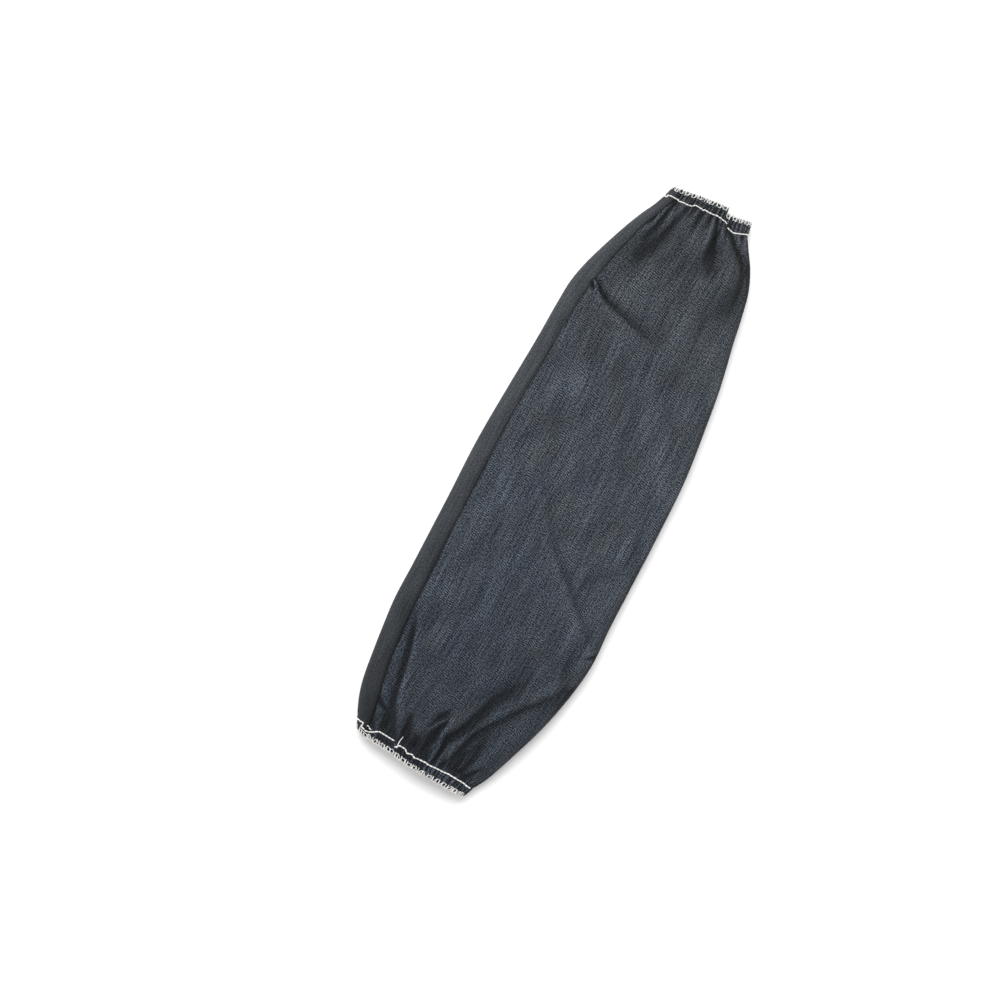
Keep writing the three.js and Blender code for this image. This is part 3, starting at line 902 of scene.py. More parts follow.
class Sketch:
    """Adds nodes to one shader tree and links them."""

    def __init__(self, tree: bpy.types.NodeTree) -> None:
        """Keep the tree that nodes go into."""
        self.tree = tree

    def feed(self, socket: Socket, value: Value) -> None:
        """Link a socket to another, or set its value.

        Args:
            socket: the socket of an input.
            value: the socket of an output, or a plain value.
        """
        if isinstance(value, bpy.types.NodeSocket):
            self.tree.links.new(value, socket)
        else:
            socket.default_value = value

    def node(self, kind: str, inputs: dict[str | int, Value], **settings: object) -> bpy.types.Node:
        """Add a node.

        Args:
            kind: Blender's name for the node.
            inputs: values or sockets for its inputs, by name or number.
            settings: the node's own settings.

        Returns:
            The new node.
        """
        made = self.tree.nodes.new(kind)
        for name, setting in settings.items():
            setattr(made, name, setting)
        for name, value in inputs.items():
            self.feed(made.inputs[name], value)
        return made

    def math(self, operation: str, *values: Value) -> Socket:
        """Work out one number from others."""
        return self.node("ShaderNodeMath", dict(enumerate(values)), operation=operation).outputs[0]

    def stretch(self, value: Value, low: float, high: float, start: float, end: float) -> Socket:
        """Map low to high onto start to end, held at both ends."""
        inputs = {"Value": value, "From Min": low, "From Max": high, "To Min": start, "To Max": end}
        return self.node("ShaderNodeMapRange", inputs).outputs["Result"]

    def blend(self, share: Value, first: Value, second: Value, way: str = "MIX") -> Socket:
        """Mix two colours, the mix node's inputs 6 and 7 and its output 2."""
        inputs = {0: share, 6: first, 7: second}
        return self.node("ShaderNodeMix", inputs, data_type="RGBA", blend_type=way).outputs[2]

    def noise(self, vector: Value, scale: float, detail: float = 2.0, roughness: float = 0.5) -> Socket:
        """Add a cloud of noise with values near 0.5."""
        inputs = {"Vector": vector, "Scale": scale, "Detail": detail, "Roughness": roughness}
        return self.node("ShaderNodeTexNoise", inputs, noise_dimensions="3D").outputs["Fac"]

    def group(self, name: str, inputs: dict[str, Value]) -> Outputs:
        """Place a shared node group with its own values.

        Args:
            name: the group's name.
            inputs: values or sockets for its inputs by name.

        Returns:
            The group's outputs.
        """
        placed = self.node("ShaderNodeGroup", {}, node_tree=shared_group(name))
        for socket, value in inputs.items():
            self.feed(placed.inputs[socket], value)
        return placed.outputs

    def grain(self, vector: Value, grain: Grain) -> Socket:
        """Add a noise over a vector, stretched each way by the grain's waves.

        Args:
            vector: the place that the noise is read at.
            grain: the noise's sizes and range.

        Returns:
            The noise, mapped onto the grain's results.
        """
        factors = (grain.across, grain.along, 1.0)
        place = self.node("ShaderNodeVectorMath", {0: vector, 1: factors}, operation="MULTIPLY").outputs[0]
        noise = self.noise(place, 1.0, grain.detail, grain.roughness)
        return self.stretch(noise, grain.low, grain.high, grain.start, grain.end)

    def humps(self, value: Value) -> Socket:
        """Turn a rising number into a hump for each whole step: the sine of pi x its fraction."""
        return self.math("SINE", self.math("MULTIPLY", self.math("FRACT", value), math.pi))

    def parts(self, vector: Value) -> Outputs:
        """Split a vector into X, Y and Z."""
        return self.node("ShaderNodeSeparateXYZ", {0: vector}).outputs

    def shaded(self, colour: Value, tone: Value) -> Socket:
        """Multiply a colour by one number."""
        grey = self.node("ShaderNodeCombineColor", {0: tone, 1: tone, 2: tone}).outputs[0]
        return self.blend(1.0, colour, grey, "MULTIPLY")

    def own_map(self) -> Socket:
        """Read the piece's own map."""
        return self.node("ShaderNodeUVMap", {}, uv_map=WEAVE_MAP).outputs["UV"]

    def own_place(self) -> Socket:
        """Read the place in the piece's own frame."""
        return self.node("ShaderNodeTexCoord", {}).outputs["Object"]

    def finish(self, height: Socket, strength: float, depth: float, surface: dict[str, Value]) -> None:
        """Close a material with its bump, its shader and its output.

        Args:
            height: the bump's height, in depths.
            strength: strength of the bump.
            depth: the bump's depth in metres.
            surface: values or sockets for the shader's other inputs by name.
        """
        bump = self.node("ShaderNodeBump", {"Height": height, "Strength": strength, "Distance": depth})
        shader = self.node("ShaderNodeBsdfPrincipled", {**surface, "Normal": bump.outputs["Normal"]})
        self.node("ShaderNodeOutputMaterial", {"Surface": shader.outputs["BSDF"]})


def new_material(name: str) -> tuple[bpy.types.Material, Sketch]:
    """Start an empty material.

    Args:
        name: the material's name.

    Returns:
        The material and a sketch that adds to it.
    """
    made = bpy.data.materials.new(name)
    made.use_nodes = True
    made.node_tree.nodes.clear()
    return made, Sketch(made.node_tree)


def new_group(
    name: str, inputs: dict[str, str], outputs: dict[str, str]
) -> tuple[bpy.types.NodeTree, Sketch]:
    """Start a shader node group.

    Args:
        name: the group's name.
        inputs: socket types of its inputs by name.
        outputs: socket types of its outputs by name.

    Returns:
        The group and a sketch that adds to it.
    """
    group = bpy.data.node_groups.new(name, "ShaderNodeTree")
    for socket, kind in inputs.items():
        group.interface.new_socket(socket, in_out="INPUT", socket_type=kind)
    for socket, kind in outputs.items():
        group.interface.new_socket(socket, in_out="OUTPUT", socket_type=kind)
    return group, Sketch(group)


def twill_group() -> bpy.types.NodeTree:
    """Make the twill weave: slanted rows where the light weft shows between dark warp yarns.

    A row number grows along the map's Y, and a little along X for the slant. It drifts from yarn to yarn by a
    noise that is drawn out along the yarns. The sine of the row number is the ridge of a row, clearer in some
    patches than in others. The speck is a noise about as fine as the yarns and the rows, and follows them.

    Returns:
        The node group, with Ridge and Speck near 0.5.
    """
    group, sketch = new_group(
        "twill_weave",
        {
            "Vector": "NodeSocketVector",
            "Pitch": "NodeSocketFloat",
            "Slant": "NodeSocketFloat",
            "Yarn Width": "NodeSocketFloat",
        },
        {"Ridge": "NodeSocketFloat", "Speck": "NodeSocketFloat"},
    )
    given = sketch.node("NodeGroupInput", {}).outputs
    parts = sketch.parts(given["Vector"])
    slanted = sketch.math("MULTIPLY_ADD", parts["X"], given["Slant"], parts["Y"])
    drift = sketch.grain(given["Vector"], ROW_DRIFT)
    row = sketch.math("ADD", drift, sketch.math("DIVIDE", slanted, given["Pitch"]))
    wave = sketch.math("SINE", sketch.math("MULTIPLY", row, 2 * math.pi))
    ridge = sketch.math("MULTIPLY_ADD", wave, sketch.grain(given["Vector"], ROW_CLEARNESS), 0.5)
    yarn = sketch.math("DIVIDE", parts["X"], given["Yarn Width"])
    cells = sketch.node("ShaderNodeCombineXYZ", {0: yarn, 1: row}).outputs[0]
    sketch.node("NodeGroupOutput", {"Ridge": ridge, "Speck": sketch.grain(cells, SPECKS)})
    return group


def yarn_group() -> bpy.types.NodeTree:
    """Make the uneven dye of cloth: streaks along its yarns, broad mottling, stray patches and wide clouds.

    Returns:
        The node group, with each value from 0 to 1.
    """
    results = {name: "NodeSocketFloat" for name in DYE}
    group, sketch = new_group("uneven_yarn", {"Vector": "NodeSocketVector"}, results)
    vector = sketch.node("NodeGroupInput", {}).outputs["Vector"]
    sketch.node("NodeGroupOutput", {name: sketch.grain(vector, grain) for name, grain in DYE.items()})
    return group


@dataclass(frozen=True)
class ClothFinish:
    """A woven cloth: dark and light yarns in a twill, uneven dye, and painted light and shade: paler ridges,
    darker hollows.

    Attributes:
        name: the material's name.
        warp: colour of the yarns on top.
        weft: colour that shows between them.
        tint: factors on the colours where the dye strays, in clouds and patches and more towards the wrist.
        show: how much of the weft shows.
        speck: strength of the speckle from cell to cell.
        ridge: strength of the slanted rows.
        streak: strength of the streaks along the yarns.
        painted_shading: strength of the painted light and shade, which makes ridges paler and hollows darker.
        bump: depth of the weave in metres.
        pitch: distance between the rows in metres.
        slant: how much the rows rise across the yarns.
        yarn: width of a yarn in metres.
        drift: how much the dye strays at the wrist.
        drift_span: places along the map in metres between which that starts and is full.
    """

    name: str
    warp: Colour
    weft: Colour
    tint: Colour
    show: float
    speck: float
    ridge: float
    streak: float
    painted_shading: float
    bump: float
    pitch: float = 0.0016
    slant: float = 0.26
    yarn: float = 0.0011
    mottle: float = 0.3
    cloud: float = 0.18
    drift: float = 0.3
    drift_span: tuple[float, float] = (-0.15, 0.2)
    cloud_drift: float = 0.32
    patch_drift: float = 0.1
    speck_bump: float = 0.6
    bump_strength: float = 0.8
    roughness: float = 0.88
    sheen: float = 0.04
    sheen_roughness: float = 0.5
    gloss: float = 0.15

    def weft_share(self, sketch: Sketch, weave: Outputs, yarn: Outputs) -> Socket:
        """Work out how much of the weft shows at each place.

        Rows, specks and streaks add up, and their sum is multiplied by the mottling, the clouds and the share
        that shows.

        Args:
            sketch: the material's sketch.
            weave: outputs of the weave's group.
            yarn: outputs of the yarn's group.

        Returns:
            The share of the weft's colour.
        """
        rows = sketch.math("MULTIPLY_ADD", weave["Ridge"], 2 * self.ridge, 1 - self.ridge)
        specks = sketch.stretch(weave["Speck"], 0.0, 1.0, -self.speck, self.speck)
        streaks = sketch.stretch(yarn["Streak"], 0.0, 1.0, -self.streak, self.streak)
        share = sketch.math("ADD", rows, sketch.math("ADD", specks, streaks))
        mottle = sketch.stretch(yarn["Mottle"], 0.0, 1.0, 1 - self.mottle, 1 + self.mottle)
        cloud = sketch.stretch(yarn["Cloud"], 0.0, 1.0, 1 + self.cloud, 1 - self.cloud)
        for part in (mottle, cloud, self.show):
            share = sketch.math("MULTIPLY", share, part)
        return share

    def material(self) -> bpy.types.Material:
        """Build the cloth's material from the shared weave and yarn groups.

        Returns:
            The new material.
        """
        made, sketch = new_material(self.name)
        place = sketch.own_map()
        sizes = {"Vector": place, "Pitch": self.pitch, "Slant": self.slant, "Yarn Width": self.yarn}
        weave = sketch.group("twill_weave", sizes)
        yarn = sketch.group("uneven_yarn", {"Vector": place})
        share = self.weft_share(sketch, weave, yarn)
        yarns = sketch.blend(share, (*self.warp, 1.0), (*self.weft, 1.0))
        stray = sketch.stretch(sketch.parts(place)["Y"], *self.drift_span, 0.0, self.drift)
        for part, most in ((yarn["Cloud"], self.cloud_drift), (yarn["Patch"], self.patch_drift)):
            stray = sketch.math("MULTIPLY_ADD", part, most, stray)
        dyed = sketch.blend(stray, yarns, (*self.tint, 1.0), "MULTIPLY")
        # Painted light and shade: the colour is scaled by the point attribute.
        painted_shading = sketch.node("ShaderNodeAttribute", {}, attribute_name=PAINTED_SHADING).outputs["Fac"]
        colour = sketch.shaded(dyed, sketch.math("MULTIPLY_ADD", painted_shading, self.painted_shading, 1.0))
        specks = sketch.math("MULTIPLY", weave["Speck"], self.speck_bump)
        height = sketch.math("MULTIPLY_ADD", weave["Ridge"], -1.0, specks)
        surface = {
            "Base Color": colour,
            "Roughness": self.roughness,
            "Sheen Weight": self.sheen,
            "Sheen Roughness": self.sheen_roughness,
            "Specular IOR Level": self.gloss,
        }
        sketch.finish(height, self.bump_strength, self.bump, surface)
        return made


@dataclass(frozen=True)
class ThreadFinish:
    """Twisted sewing thread: pale plies that wind round it, soiled in patches. Sizes are in metres."""

    name: str
    clean: Colour
    soiled: Colour
    ply: float = 0.0009
    ply_shade: float = 0.8
    bump: float = 0.00012
    bump_strength: float = 0.7
    soil_scale: float = 420.0
    soil_detail: float = 3.0
    soil_roughness: float = 0.6
    soil_span: tuple[float, float] = (0.42, 0.72)
    roughness: float = 0.75
    sheen: float = 0.15
    gloss: float = 0.3

    def material(self) -> bpy.types.Material:
        """Build the thread's material, with the plies as slanted lines on its own map.

        Returns:
            The new material.
        """
        made, sketch = new_material(self.name)
        parts = sketch.parts(sketch.own_map())
        along = sketch.math("DIVIDE", parts["X"], self.ply)
        plies = sketch.humps(sketch.math("ADD", along, sketch.math("DIVIDE", parts["Y"], MM)))
        noise = sketch.noise(sketch.own_place(), self.soil_scale, self.soil_detail, self.soil_roughness)
        soil = sketch.stretch(noise, *self.soil_span, 0.0, 1.0)
        yarn = sketch.blend(soil, (*self.clean, 1.0), (*self.soiled, 1.0))
        surface = {
            "Base Color": sketch.shaded(yarn, sketch.stretch(plies, 0.0, 1.0, self.ply_shade, 1.0)),
            "Roughness": self.roughness,
            "Sheen Weight": self.sheen,
            "Specular IOR Level": self.gloss,
        }
        sketch.finish(plies, self.bump_strength, self.bump, surface)
        return made


@dataclass(frozen=True)
class ElasticFinish:
    """Woven elastic tape: off-white cords along it, crossed by fine ribs. Sizes are in metres."""

    name: str
    pale: Colour
    groove: Colour
    cord: float = 0.0009
    rib: float = 0.0007
    bump: float = 0.0002
    bump_strength: float = 0.8
    patch_scale: float = 300.0
    patch_detail: float = 3.0
    patch: float = 0.5
    tone_span: tuple[float, float] = (0.3, 1.2)
    roughness: float = 0.7
    gloss: float = 0.3

    def material(self) -> bpy.types.Material:
        """Build the tape's material, with cords and ribs on its own map.

        Returns:
            The new material.
        """
        made, sketch = new_material(self.name)
        parts = sketch.parts(sketch.own_map())
        ribs = sketch.humps(sketch.math("DIVIDE", parts["X"], self.rib))
        cords = sketch.humps(sketch.math("DIVIDE", parts["Y"], self.cord))
        weave = sketch.math("MULTIPLY", sketch.math("ADD", ribs, cords), 0.5)
        noise = sketch.noise(sketch.own_place(), self.patch_scale, self.patch_detail)
        uneven = sketch.math("MULTIPLY_ADD", noise, self.patch, weave)
        tone = sketch.stretch(uneven, *self.tone_span, 0.0, 1.0)
        surface = {
            "Base Color": sketch.blend(tone, (*self.groove, 1.0), (*self.pale, 1.0)),
            "Roughness": self.roughness,
            "Specular IOR Level": self.gloss,
        }
        sketch.finish(weave, self.bump_strength, self.bump, surface)
        return made


def shared_group(name: str) -> bpy.types.NodeTree:
    """Fetch a shared node group, and build it the first time."""
    builders = {"twill_weave": twill_group, "uneven_yarn": yarn_group}
    return bpy.data.node_groups.get(name) or builders[name]()


DENIM_FACE = ClothFinish(
    name="denim_face",
    warp=(0.0012, 0.005, 0.013),
    weft=(0.145, 0.173, 0.212),
    tint=(1.26, 1.03, 0.75),
    show=0.221,
    speck=1.1,
    ridge=0.68,
    streak=0.57,
    painted_shading=0.75,
    bump=0.00012,
)
DENIM_BACK = ClothFinish(
    name="denim_back",
    warp=(0.048, 0.056, 0.072),
    weft=(0.272, 0.288, 0.312),
    tint=(1.05, 1.0, 0.95),
    show=0.44,
    speck=0.6,
    ridge=0.5,
    streak=0.3,
    painted_shading=0.3,
    bump=0.00012,
)
SEAM_FACE = ClothFinish(
    name="seam_face",
    warp=(0.0096, 0.0116, 0.0146),
    weft=(0.101, 0.115, 0.131),
    tint=(1.1, 1.03, 0.96),
    show=0.352,
    speck=0.7,
    ridge=0.5,
    streak=0.42,
    painted_shading=0.6,
    bump=0.00008,
    pitch=0.0013,
)
WHITE_THREAD = ThreadFinish("white_thread", (0.78, 0.775, 0.755), (0.6, 0.585, 0.55))
TAPE = ElasticFinish("elastic_tape", (0.58, 0.555, 0.5), (0.37, 0.355, 0.305))


class EndShade(NamedTuple):
    """Painted shade near one mouth: among the gathers, and at that end from start to full."""

    gathers: float
    end: float
    start: float
    full: float


END_SHADE: dict[Mouth, EndShade] = {
    Mouth.WRIST: EndShade(gathers=0.06, end=0.28, start=145.0, full=178.0),
    Mouth.ARM: EndShade(gathers=0.33, end=0.35, start=0.0, full=165.0),
}


@dataclass
class PaintedFaceShading:
    """Painted light and shade on the cloth's face from its ridges, hollows and places, from -1 for dark to 1
    for pale.

    A point that stands out by stand_out over those around it gets painted light, paler by 1, between least
    and most. The values that start with hem hold in the hems. The seam's angle is 1.6 mm at 60 mm from the
    middle.
    """

    form: SleeveForm
    mean_columns: int = 8
    mean_rows: int = 2
    stand_out: float = 1.3
    hem_stand_out: float = 0.6
    least: float = -0.7
    most: float = 0.5
    hem_most: float = 1.0
    # Painted shade in hollows and painted highlight on ridges.
    hollow: float = -0.85
    hollow_depth: float = 3.2
    ridge: float = 0.3
    ridge_height: float = 1.5
    # Painted shade in the hems.
    hem: float = -0.35
    hem_soft: float = 1.0
    # Painted shadow beside the seam strip.
    seam: float = -0.8
    seam_angle: float = 1.6 / 60
    # Painted shade round the far edge, and painted light on the far side.
    far_angle: float = 0.27
    far_side_light: float = 0.21
    far_span: tuple[float, float] = (1.9, 2.5)
    # Reach of the painted shade among the gathers.
    gather_reach: float = 17.0

    def standing_out(self, push: Array) -> Array:
        """Work out how far each point stands out from the mean of the points around it.

        Args:
            push: outward displacement of each point.

        Returns:
            The displacement less the mean.
        """
        over = range(-self.mean_columns, self.mean_columns + 1)
        mean = sum(np.roll(push, shift, axis=1) for shift in over) / len(over)
        padded = np.pad(mean, ((self.mean_rows, self.mean_rows), (0, 0)), mode="edge")
        down = range(2 * self.mean_rows + 1)
        return push - sum(padded[shift : shift + len(push)] for shift in down) / len(down)

    def values(self, stations: Array, angles: Array) -> Array:
        """Tell ridges from hollows, for the painted light and shade on the cloth's face.

        A hollow gets painted shade, darker as the hyperbolic tangent of its fold's depth, and a ridge a
        painted highlight, paler. A point that stands out from the mean of those around it gets painted light,
        and one that lies below it painted shade. Painted shade makes the cloth darker beside the seam strip,
        round the far edge, in the hems and towards both ends, and painted light makes it a little paler on
        its far side.

        Args:
            stations: stations of the outer face's points.
            angles: angles of the outer face's points.

        Returns:
            A value from -1 in hollows to 1 on ridges.
        """
        form = self.form
        stations, angles = np.broadcast_arrays(stations, angles)
        from_rim = form.half_length - np.abs(stations)
        in_hem = 1 - ease(from_rim, form.hem - self.hem_soft, form.hem + self.hem_soft)
        full = self.stand_out + (self.hem_stand_out - self.stand_out) * in_hem
        most = self.most + (self.hem_most - self.most) * in_hem
        # Painted light on what stands out, painted shade on what lies lower.
        local = np.clip(self.standing_out(form.dents(stations, angles)) / full, self.least, most)
        folds = form.fold_depth(stations, angles)
        # Painted shade in the folds' hollows and painted highlight on their ridges.
        sunk = self.hollow * np.tanh(folds / self.hollow_depth)
        raised = -self.ridge * np.tanh(folds / self.ridge_height)
        # Painted shadow along the seam strip's edge.
        seam_shadow = np.exp(-(((angles - form.outline(stations).lap_angle) / self.seam_angle) ** 2))
        # Painted shade round the far edge and painted light on the far side, from how the light falls.
        far_edge_shade = np.exp(-(((angles - np.pi) / self.far_angle) ** 4))
        tone = local + np.where(folds > 0, sunk, raised) + self.far_side_light * ease(angles, *self.far_span)
        tone = tone + self.seam * seam_shadow - far_edge_shade + self.hem * in_hem
        # Painted shade among the gathers and towards both ends.
        for mouth, end_shade in END_SHADE.items():
            inward = np.clip(form.half_length - mouth.value * stations - form.hem, 0, None)
            tone = tone - end_shade.gathers * (1 - in_hem) * np.exp(-((inward / self.gather_reach) ** 2))
            tone = tone - end_shade.end * ease(mouth.value * stations, end_shade.start, end_shade.full)
        return np.clip(tone, -1, 1)


def set_painted_shading(piece: bpy.types.Object, values: Array) -> None:
    """Give each of a piece's points its painted light and shade, which the cloth's material reads."""
    piece.data.attributes.new(PAINTED_SHADING, "FLOAT", "POINT").data.foreach_set("value", values.ravel())


class RowSpan(NamedTuple):
    """A stretch of the sleeve with even rows, in millimetres."""

    low: float
    high: float
    step: float


# Rows of the cloth, close together where the folds are fine.
ROW_SPANS = (
    RowSpan(-228.6, -220.0, 0.8),
    RowSpan(-220.0, -130.0, 1.8),
    RowSpan(-130.0, -107.0, 3.3),
    RowSpan(-107.0, -93.0, 1.4),
    RowSpan(-93.0, 35.0, 2.2),
    RowSpan(35.0, 112.0, 5.6),
    RowSpan(112.0, 125.0, 1.3),
    RowSpan(125.0, 140.0, 0.6),
    RowSpan(140.0, 150.0, 1.2),
    RowSpan(150.0, 220.0, 1.75),
    RowSpan(220.0, 228.6, 0.8),
)


@dataclass
class SleeveCloth:
    """The denim panel, sewn into a tube that is open and gathered at both ends.

    The inner face has a column for every inner_columns of the outer face and a row for every inner_rows, and
    it doesn't follow dips of less than slack. Columns are sparser on the underside, by underside_share.
    """

    form: SleeveForm
    thickness: float = 1.0
    columns: int = 364
    inner_columns: int = 4
    inner_rows: int = 3
    slack: float = 0.5
    underside_share: float = 0.36
    underside_from: float = -0.15
    start: float = -0.12
    fine_steps: int = 4000
    flat: tuple[float, float] = (0.325, 0.457)

    def stations(self) -> Array:
        """Collect the rows along the sleeve.

        Returns:
            The rows' stations.
        """
        spans = []
        for low, high, step in ROW_SPANS:
            spans.append(np.linspace(low, high, round((high - low) / step), endpoint=False))
        return np.append(np.concatenate(spans), ROW_SPANS[-1].high)

    def angles(self) -> Array:
        """Collect the columns round the sleeve, evenly spaced above and wider apart on the underside.

        Returns:
            The columns' angles, with the first one again a whole turn on.
        """
        fine = np.linspace(self.start, self.start + 2 * np.pi, self.fine_steps + 1)
        lengths = self.form.around(np.array([[0.0]]), fine[None, :])[0]
        above = np.sin((fine[1:] + fine[:-1]) / 2) > self.underside_from
        weights = np.where(above, 1.0, self.underside_share)
        walked = np.concatenate([[0.0], np.cumsum(np.diff(lengths) * weights)])
        return np.interp(np.linspace(0, walked[-1], self.columns + 1), walked, fine)

    def build(self) -> bpy.types.Object:
        """Make the outer face, the inner face and the rims that join them.

        The faces are grids of the form's cloth function over stations and angles. The inner face lies one
        thickness inside the outer face or more where it is steep, and fans of triangles close the rims. The
        map's X is the distance round the sleeve from its crown, and Y the station.

        Returns:
            The cloth's object.
        """
        stations = self.stations()[:, None]
        angles = self.angles()[None, :]
        around = self.form.around(stations, angles)
        crown = np.abs(angles[0] - np.pi / 2).argmin()
        places = np.stack(np.broadcast_arrays(around - around[:, crown, None], stations), -1)
        angles = angles[:, :-1]
        surface = Surface()
        outer = surface.add_grid(self.form.cloth(stations, angles), places)
        rows = np.unique(np.append(np.arange(0, len(stations), self.inner_rows), len(stations) - 1))
        inset = self.inset(stations, angles)[rows][:, :: self.inner_columns]
        inner_points = self.form.cloth(stations[rows], angles[:, :: self.inner_columns], inset)
        inner_places = places[rows][:, :: self.inner_columns]
        inner = surface.add_grid(inner_points, inner_places, inside=True, slot=1)
        self.close_rims(surface, outer, inner, len(stations), len(rows))
        piece = surface.make("sleeve_cloth")
        # Painted light and shade for the outer face, none for the inner face.
        tone = PaintedFaceShading(self.form).values(stations, angles)
        set_painted_shading(piece, np.append(tone, np.zeros(inner_points.size // 3)))
        return piece

    def inset(self, stations: Array, angles: Array) -> Array:
        """Work out how far the inner face lies inside the outer one.

        It is one thickness, and more by as much as the outer face dips between two points of the inner face's
        coarser grid, less some slack.

        Args:
            stations: stations of the outer face's points.
            angles: angles of the outer face's points.

        Returns:
            The inset at each point.
        """
        push = self.form.dents(stations, angles)
        over = range(-self.inner_columns, self.inner_columns + 1)
        lowest = np.min([np.roll(push, shift, axis=1) for shift in over], axis=0)
        padded = np.pad(lowest, ((self.inner_rows, self.inner_rows), (0, 0)), mode="edge")
        down = range(2 * self.inner_rows + 1)
        lowest = np.min([padded[shift : shift + len(push)] for shift in down], axis=0)
        return self.thickness + np.clip(push - lowest - self.slack, 0, None)

    def close_rims(
        self, surface: Surface, outer: int, inner: int, outer_count: int, inner_count: int
    ) -> None:
        """Close both rims with fans of triangles from the inner face's points to the outer face's.

        Args:
            surface: the piece to add to.
            outer: number of the outer face's first point.
            inner: number of the inner face's first point.
            outer_count: rows of the outer face.
            inner_count: rows of the inner face.
        """
        column = np.arange(self.columns)
        near = column // self.inner_columns
        inner_width = self.columns // self.inner_columns
        for mouth in Mouth:
            last = mouth is Mouth.WRIST
            outside = outer + (outer_count - 1) * self.columns * last
            inside = inner + (inner_count - 1) * inner_width * last
            fan = np.stack([outside + column, outside + (column + 1) % self.columns, inside + near], -1)
            first = np.arange(inner_width)
            following = (first + 1) % inner_width
            gap = np.stack([inside + first, outside + following * self.inner_columns, inside + following], -1)
            faces = np.concatenate([fan, gap])
            if not last:
                faces = faces[:, ::-1]
            surface.add_faces(faces, np.zeros((len(faces), 3, 2)), slot=1)

    def dress(self, piece: bpy.types.Object) -> None:
        """Give the cloth its face and back, and say what it stands for.

        Args:
            piece: the cloth's object.
        """
        piece.data.materials.append(DENIM_FACE.material())
        piece.data.materials.append(DENIM_BACK.material())
        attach(piece, BODY)
        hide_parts("sleeve_tube")


@dataclass
class SideSeam:
    """The strip of cloth that laps over the seam along the left edge, with painted shade at its edges and
    both ends.
    """

    form: SleeveForm
    columns: int = 28
    row_step: float = 1.5
    end_inset: float = 0.5
    # Painted shade: over all, across the rounded top, at the edges and towards both ends.
    tone: float = -0.05
    bend_shade: float = 0.25
    edge_shade: float = 0.6
    edge_power: int = 10
    arm_shade: float = 0.75
    arm_from: float = -80.0
    wrist_shade: float = 0.3
    wrist_from: float = 140.0
    flat: tuple[float, float] = (0.0245, 0.455)

    def build(self) -> bpy.types.Object:
        """Make the strip as a closed band with rounded edges that follows the cloth.

        Its top stands over the cloth by the form's seam height, and its lower side stays at the gap. The
        map's X is the distance round the band from the middle of its top, and Y the station.

        Returns:
            The strip's object.
        """
        reach = self.form.half_length - self.end_inset
        stations = np.linspace(-reach, reach, round(2 * reach / self.row_step))[:, None]
        lap = self.form.outline(stations).lap_angle
        across = -np.cos(np.linspace(0, np.pi, self.columns + 1))[None, :]
        under = self.form.seam_under
        angles = under + (lap - under) * (across + 1) / 2
        height = np.maximum(self.form.seam_height(stations, angles), self.form.seam_gap)
        top = self.form.cloth(stations, angles, -height)
        bottom = self.form.cloth(stations, angles[:, -2:0:-1], -self.form.seam_gap)
        loop = np.concatenate([top, bottom], 1)
        width = np.linalg.norm(np.diff(np.concatenate([loop, loop[:, :1]], 1), axis=1), axis=2)
        around = np.concatenate([np.zeros((len(stations), 1)), np.cumsum(width, 1)], 1)
        quarter = around[:, -1:] / 4
        surface = Surface()
        first = surface.add_grid(loop, np.stack(np.broadcast_arrays(around - quarter, stations), -1))
        size = loop.shape[1]
        ends = np.arange(size)[None, :]
        surface.add_faces(first + ends[:, ::-1], np.zeros((1, size, 2)))
        surface.add_faces(first + (len(stations) - 1) * size + ends, np.zeros((1, size, 2)))
        piece = surface.make("side_seam_strip")
        # Painted shade of the strip, read by its material.
        set_painted_shading(piece, self.painted_shades(across, stations, reach))
        return piece

    def painted_shades(self, across: Array, stations: Array, reach: float) -> Array:
        """Work out the strip's painted shade, darker across its rounded top, at its edges, below and towards
        both ends.

        Args:
            across: places across the top, from -1 to 1.
            stations: stations along the strip.
            reach: station of its ends.

        Returns:
            The tone at each point of the band.
        """
        top = -self.bend_shade * across**2 - self.edge_shade * across**self.edge_power
        band = np.concatenate([top, np.full((1, self.columns - 1), -self.edge_shade)], 1)
        arm = self.arm_shade * ease(-stations, self.arm_from, reach)
        return band + self.tone - arm - self.wrist_shade * ease(stations, self.wrist_from, reach)

    def dress(self, piece: bpy.types.Object) -> None:
        """Give the strip its cloth and say what it stands for.

        Args:
            piece: the strip's object.
        """
        piece.data.materials.append(SEAM_FACE.material())
        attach(piece, BODY)
        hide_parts("side_seam")


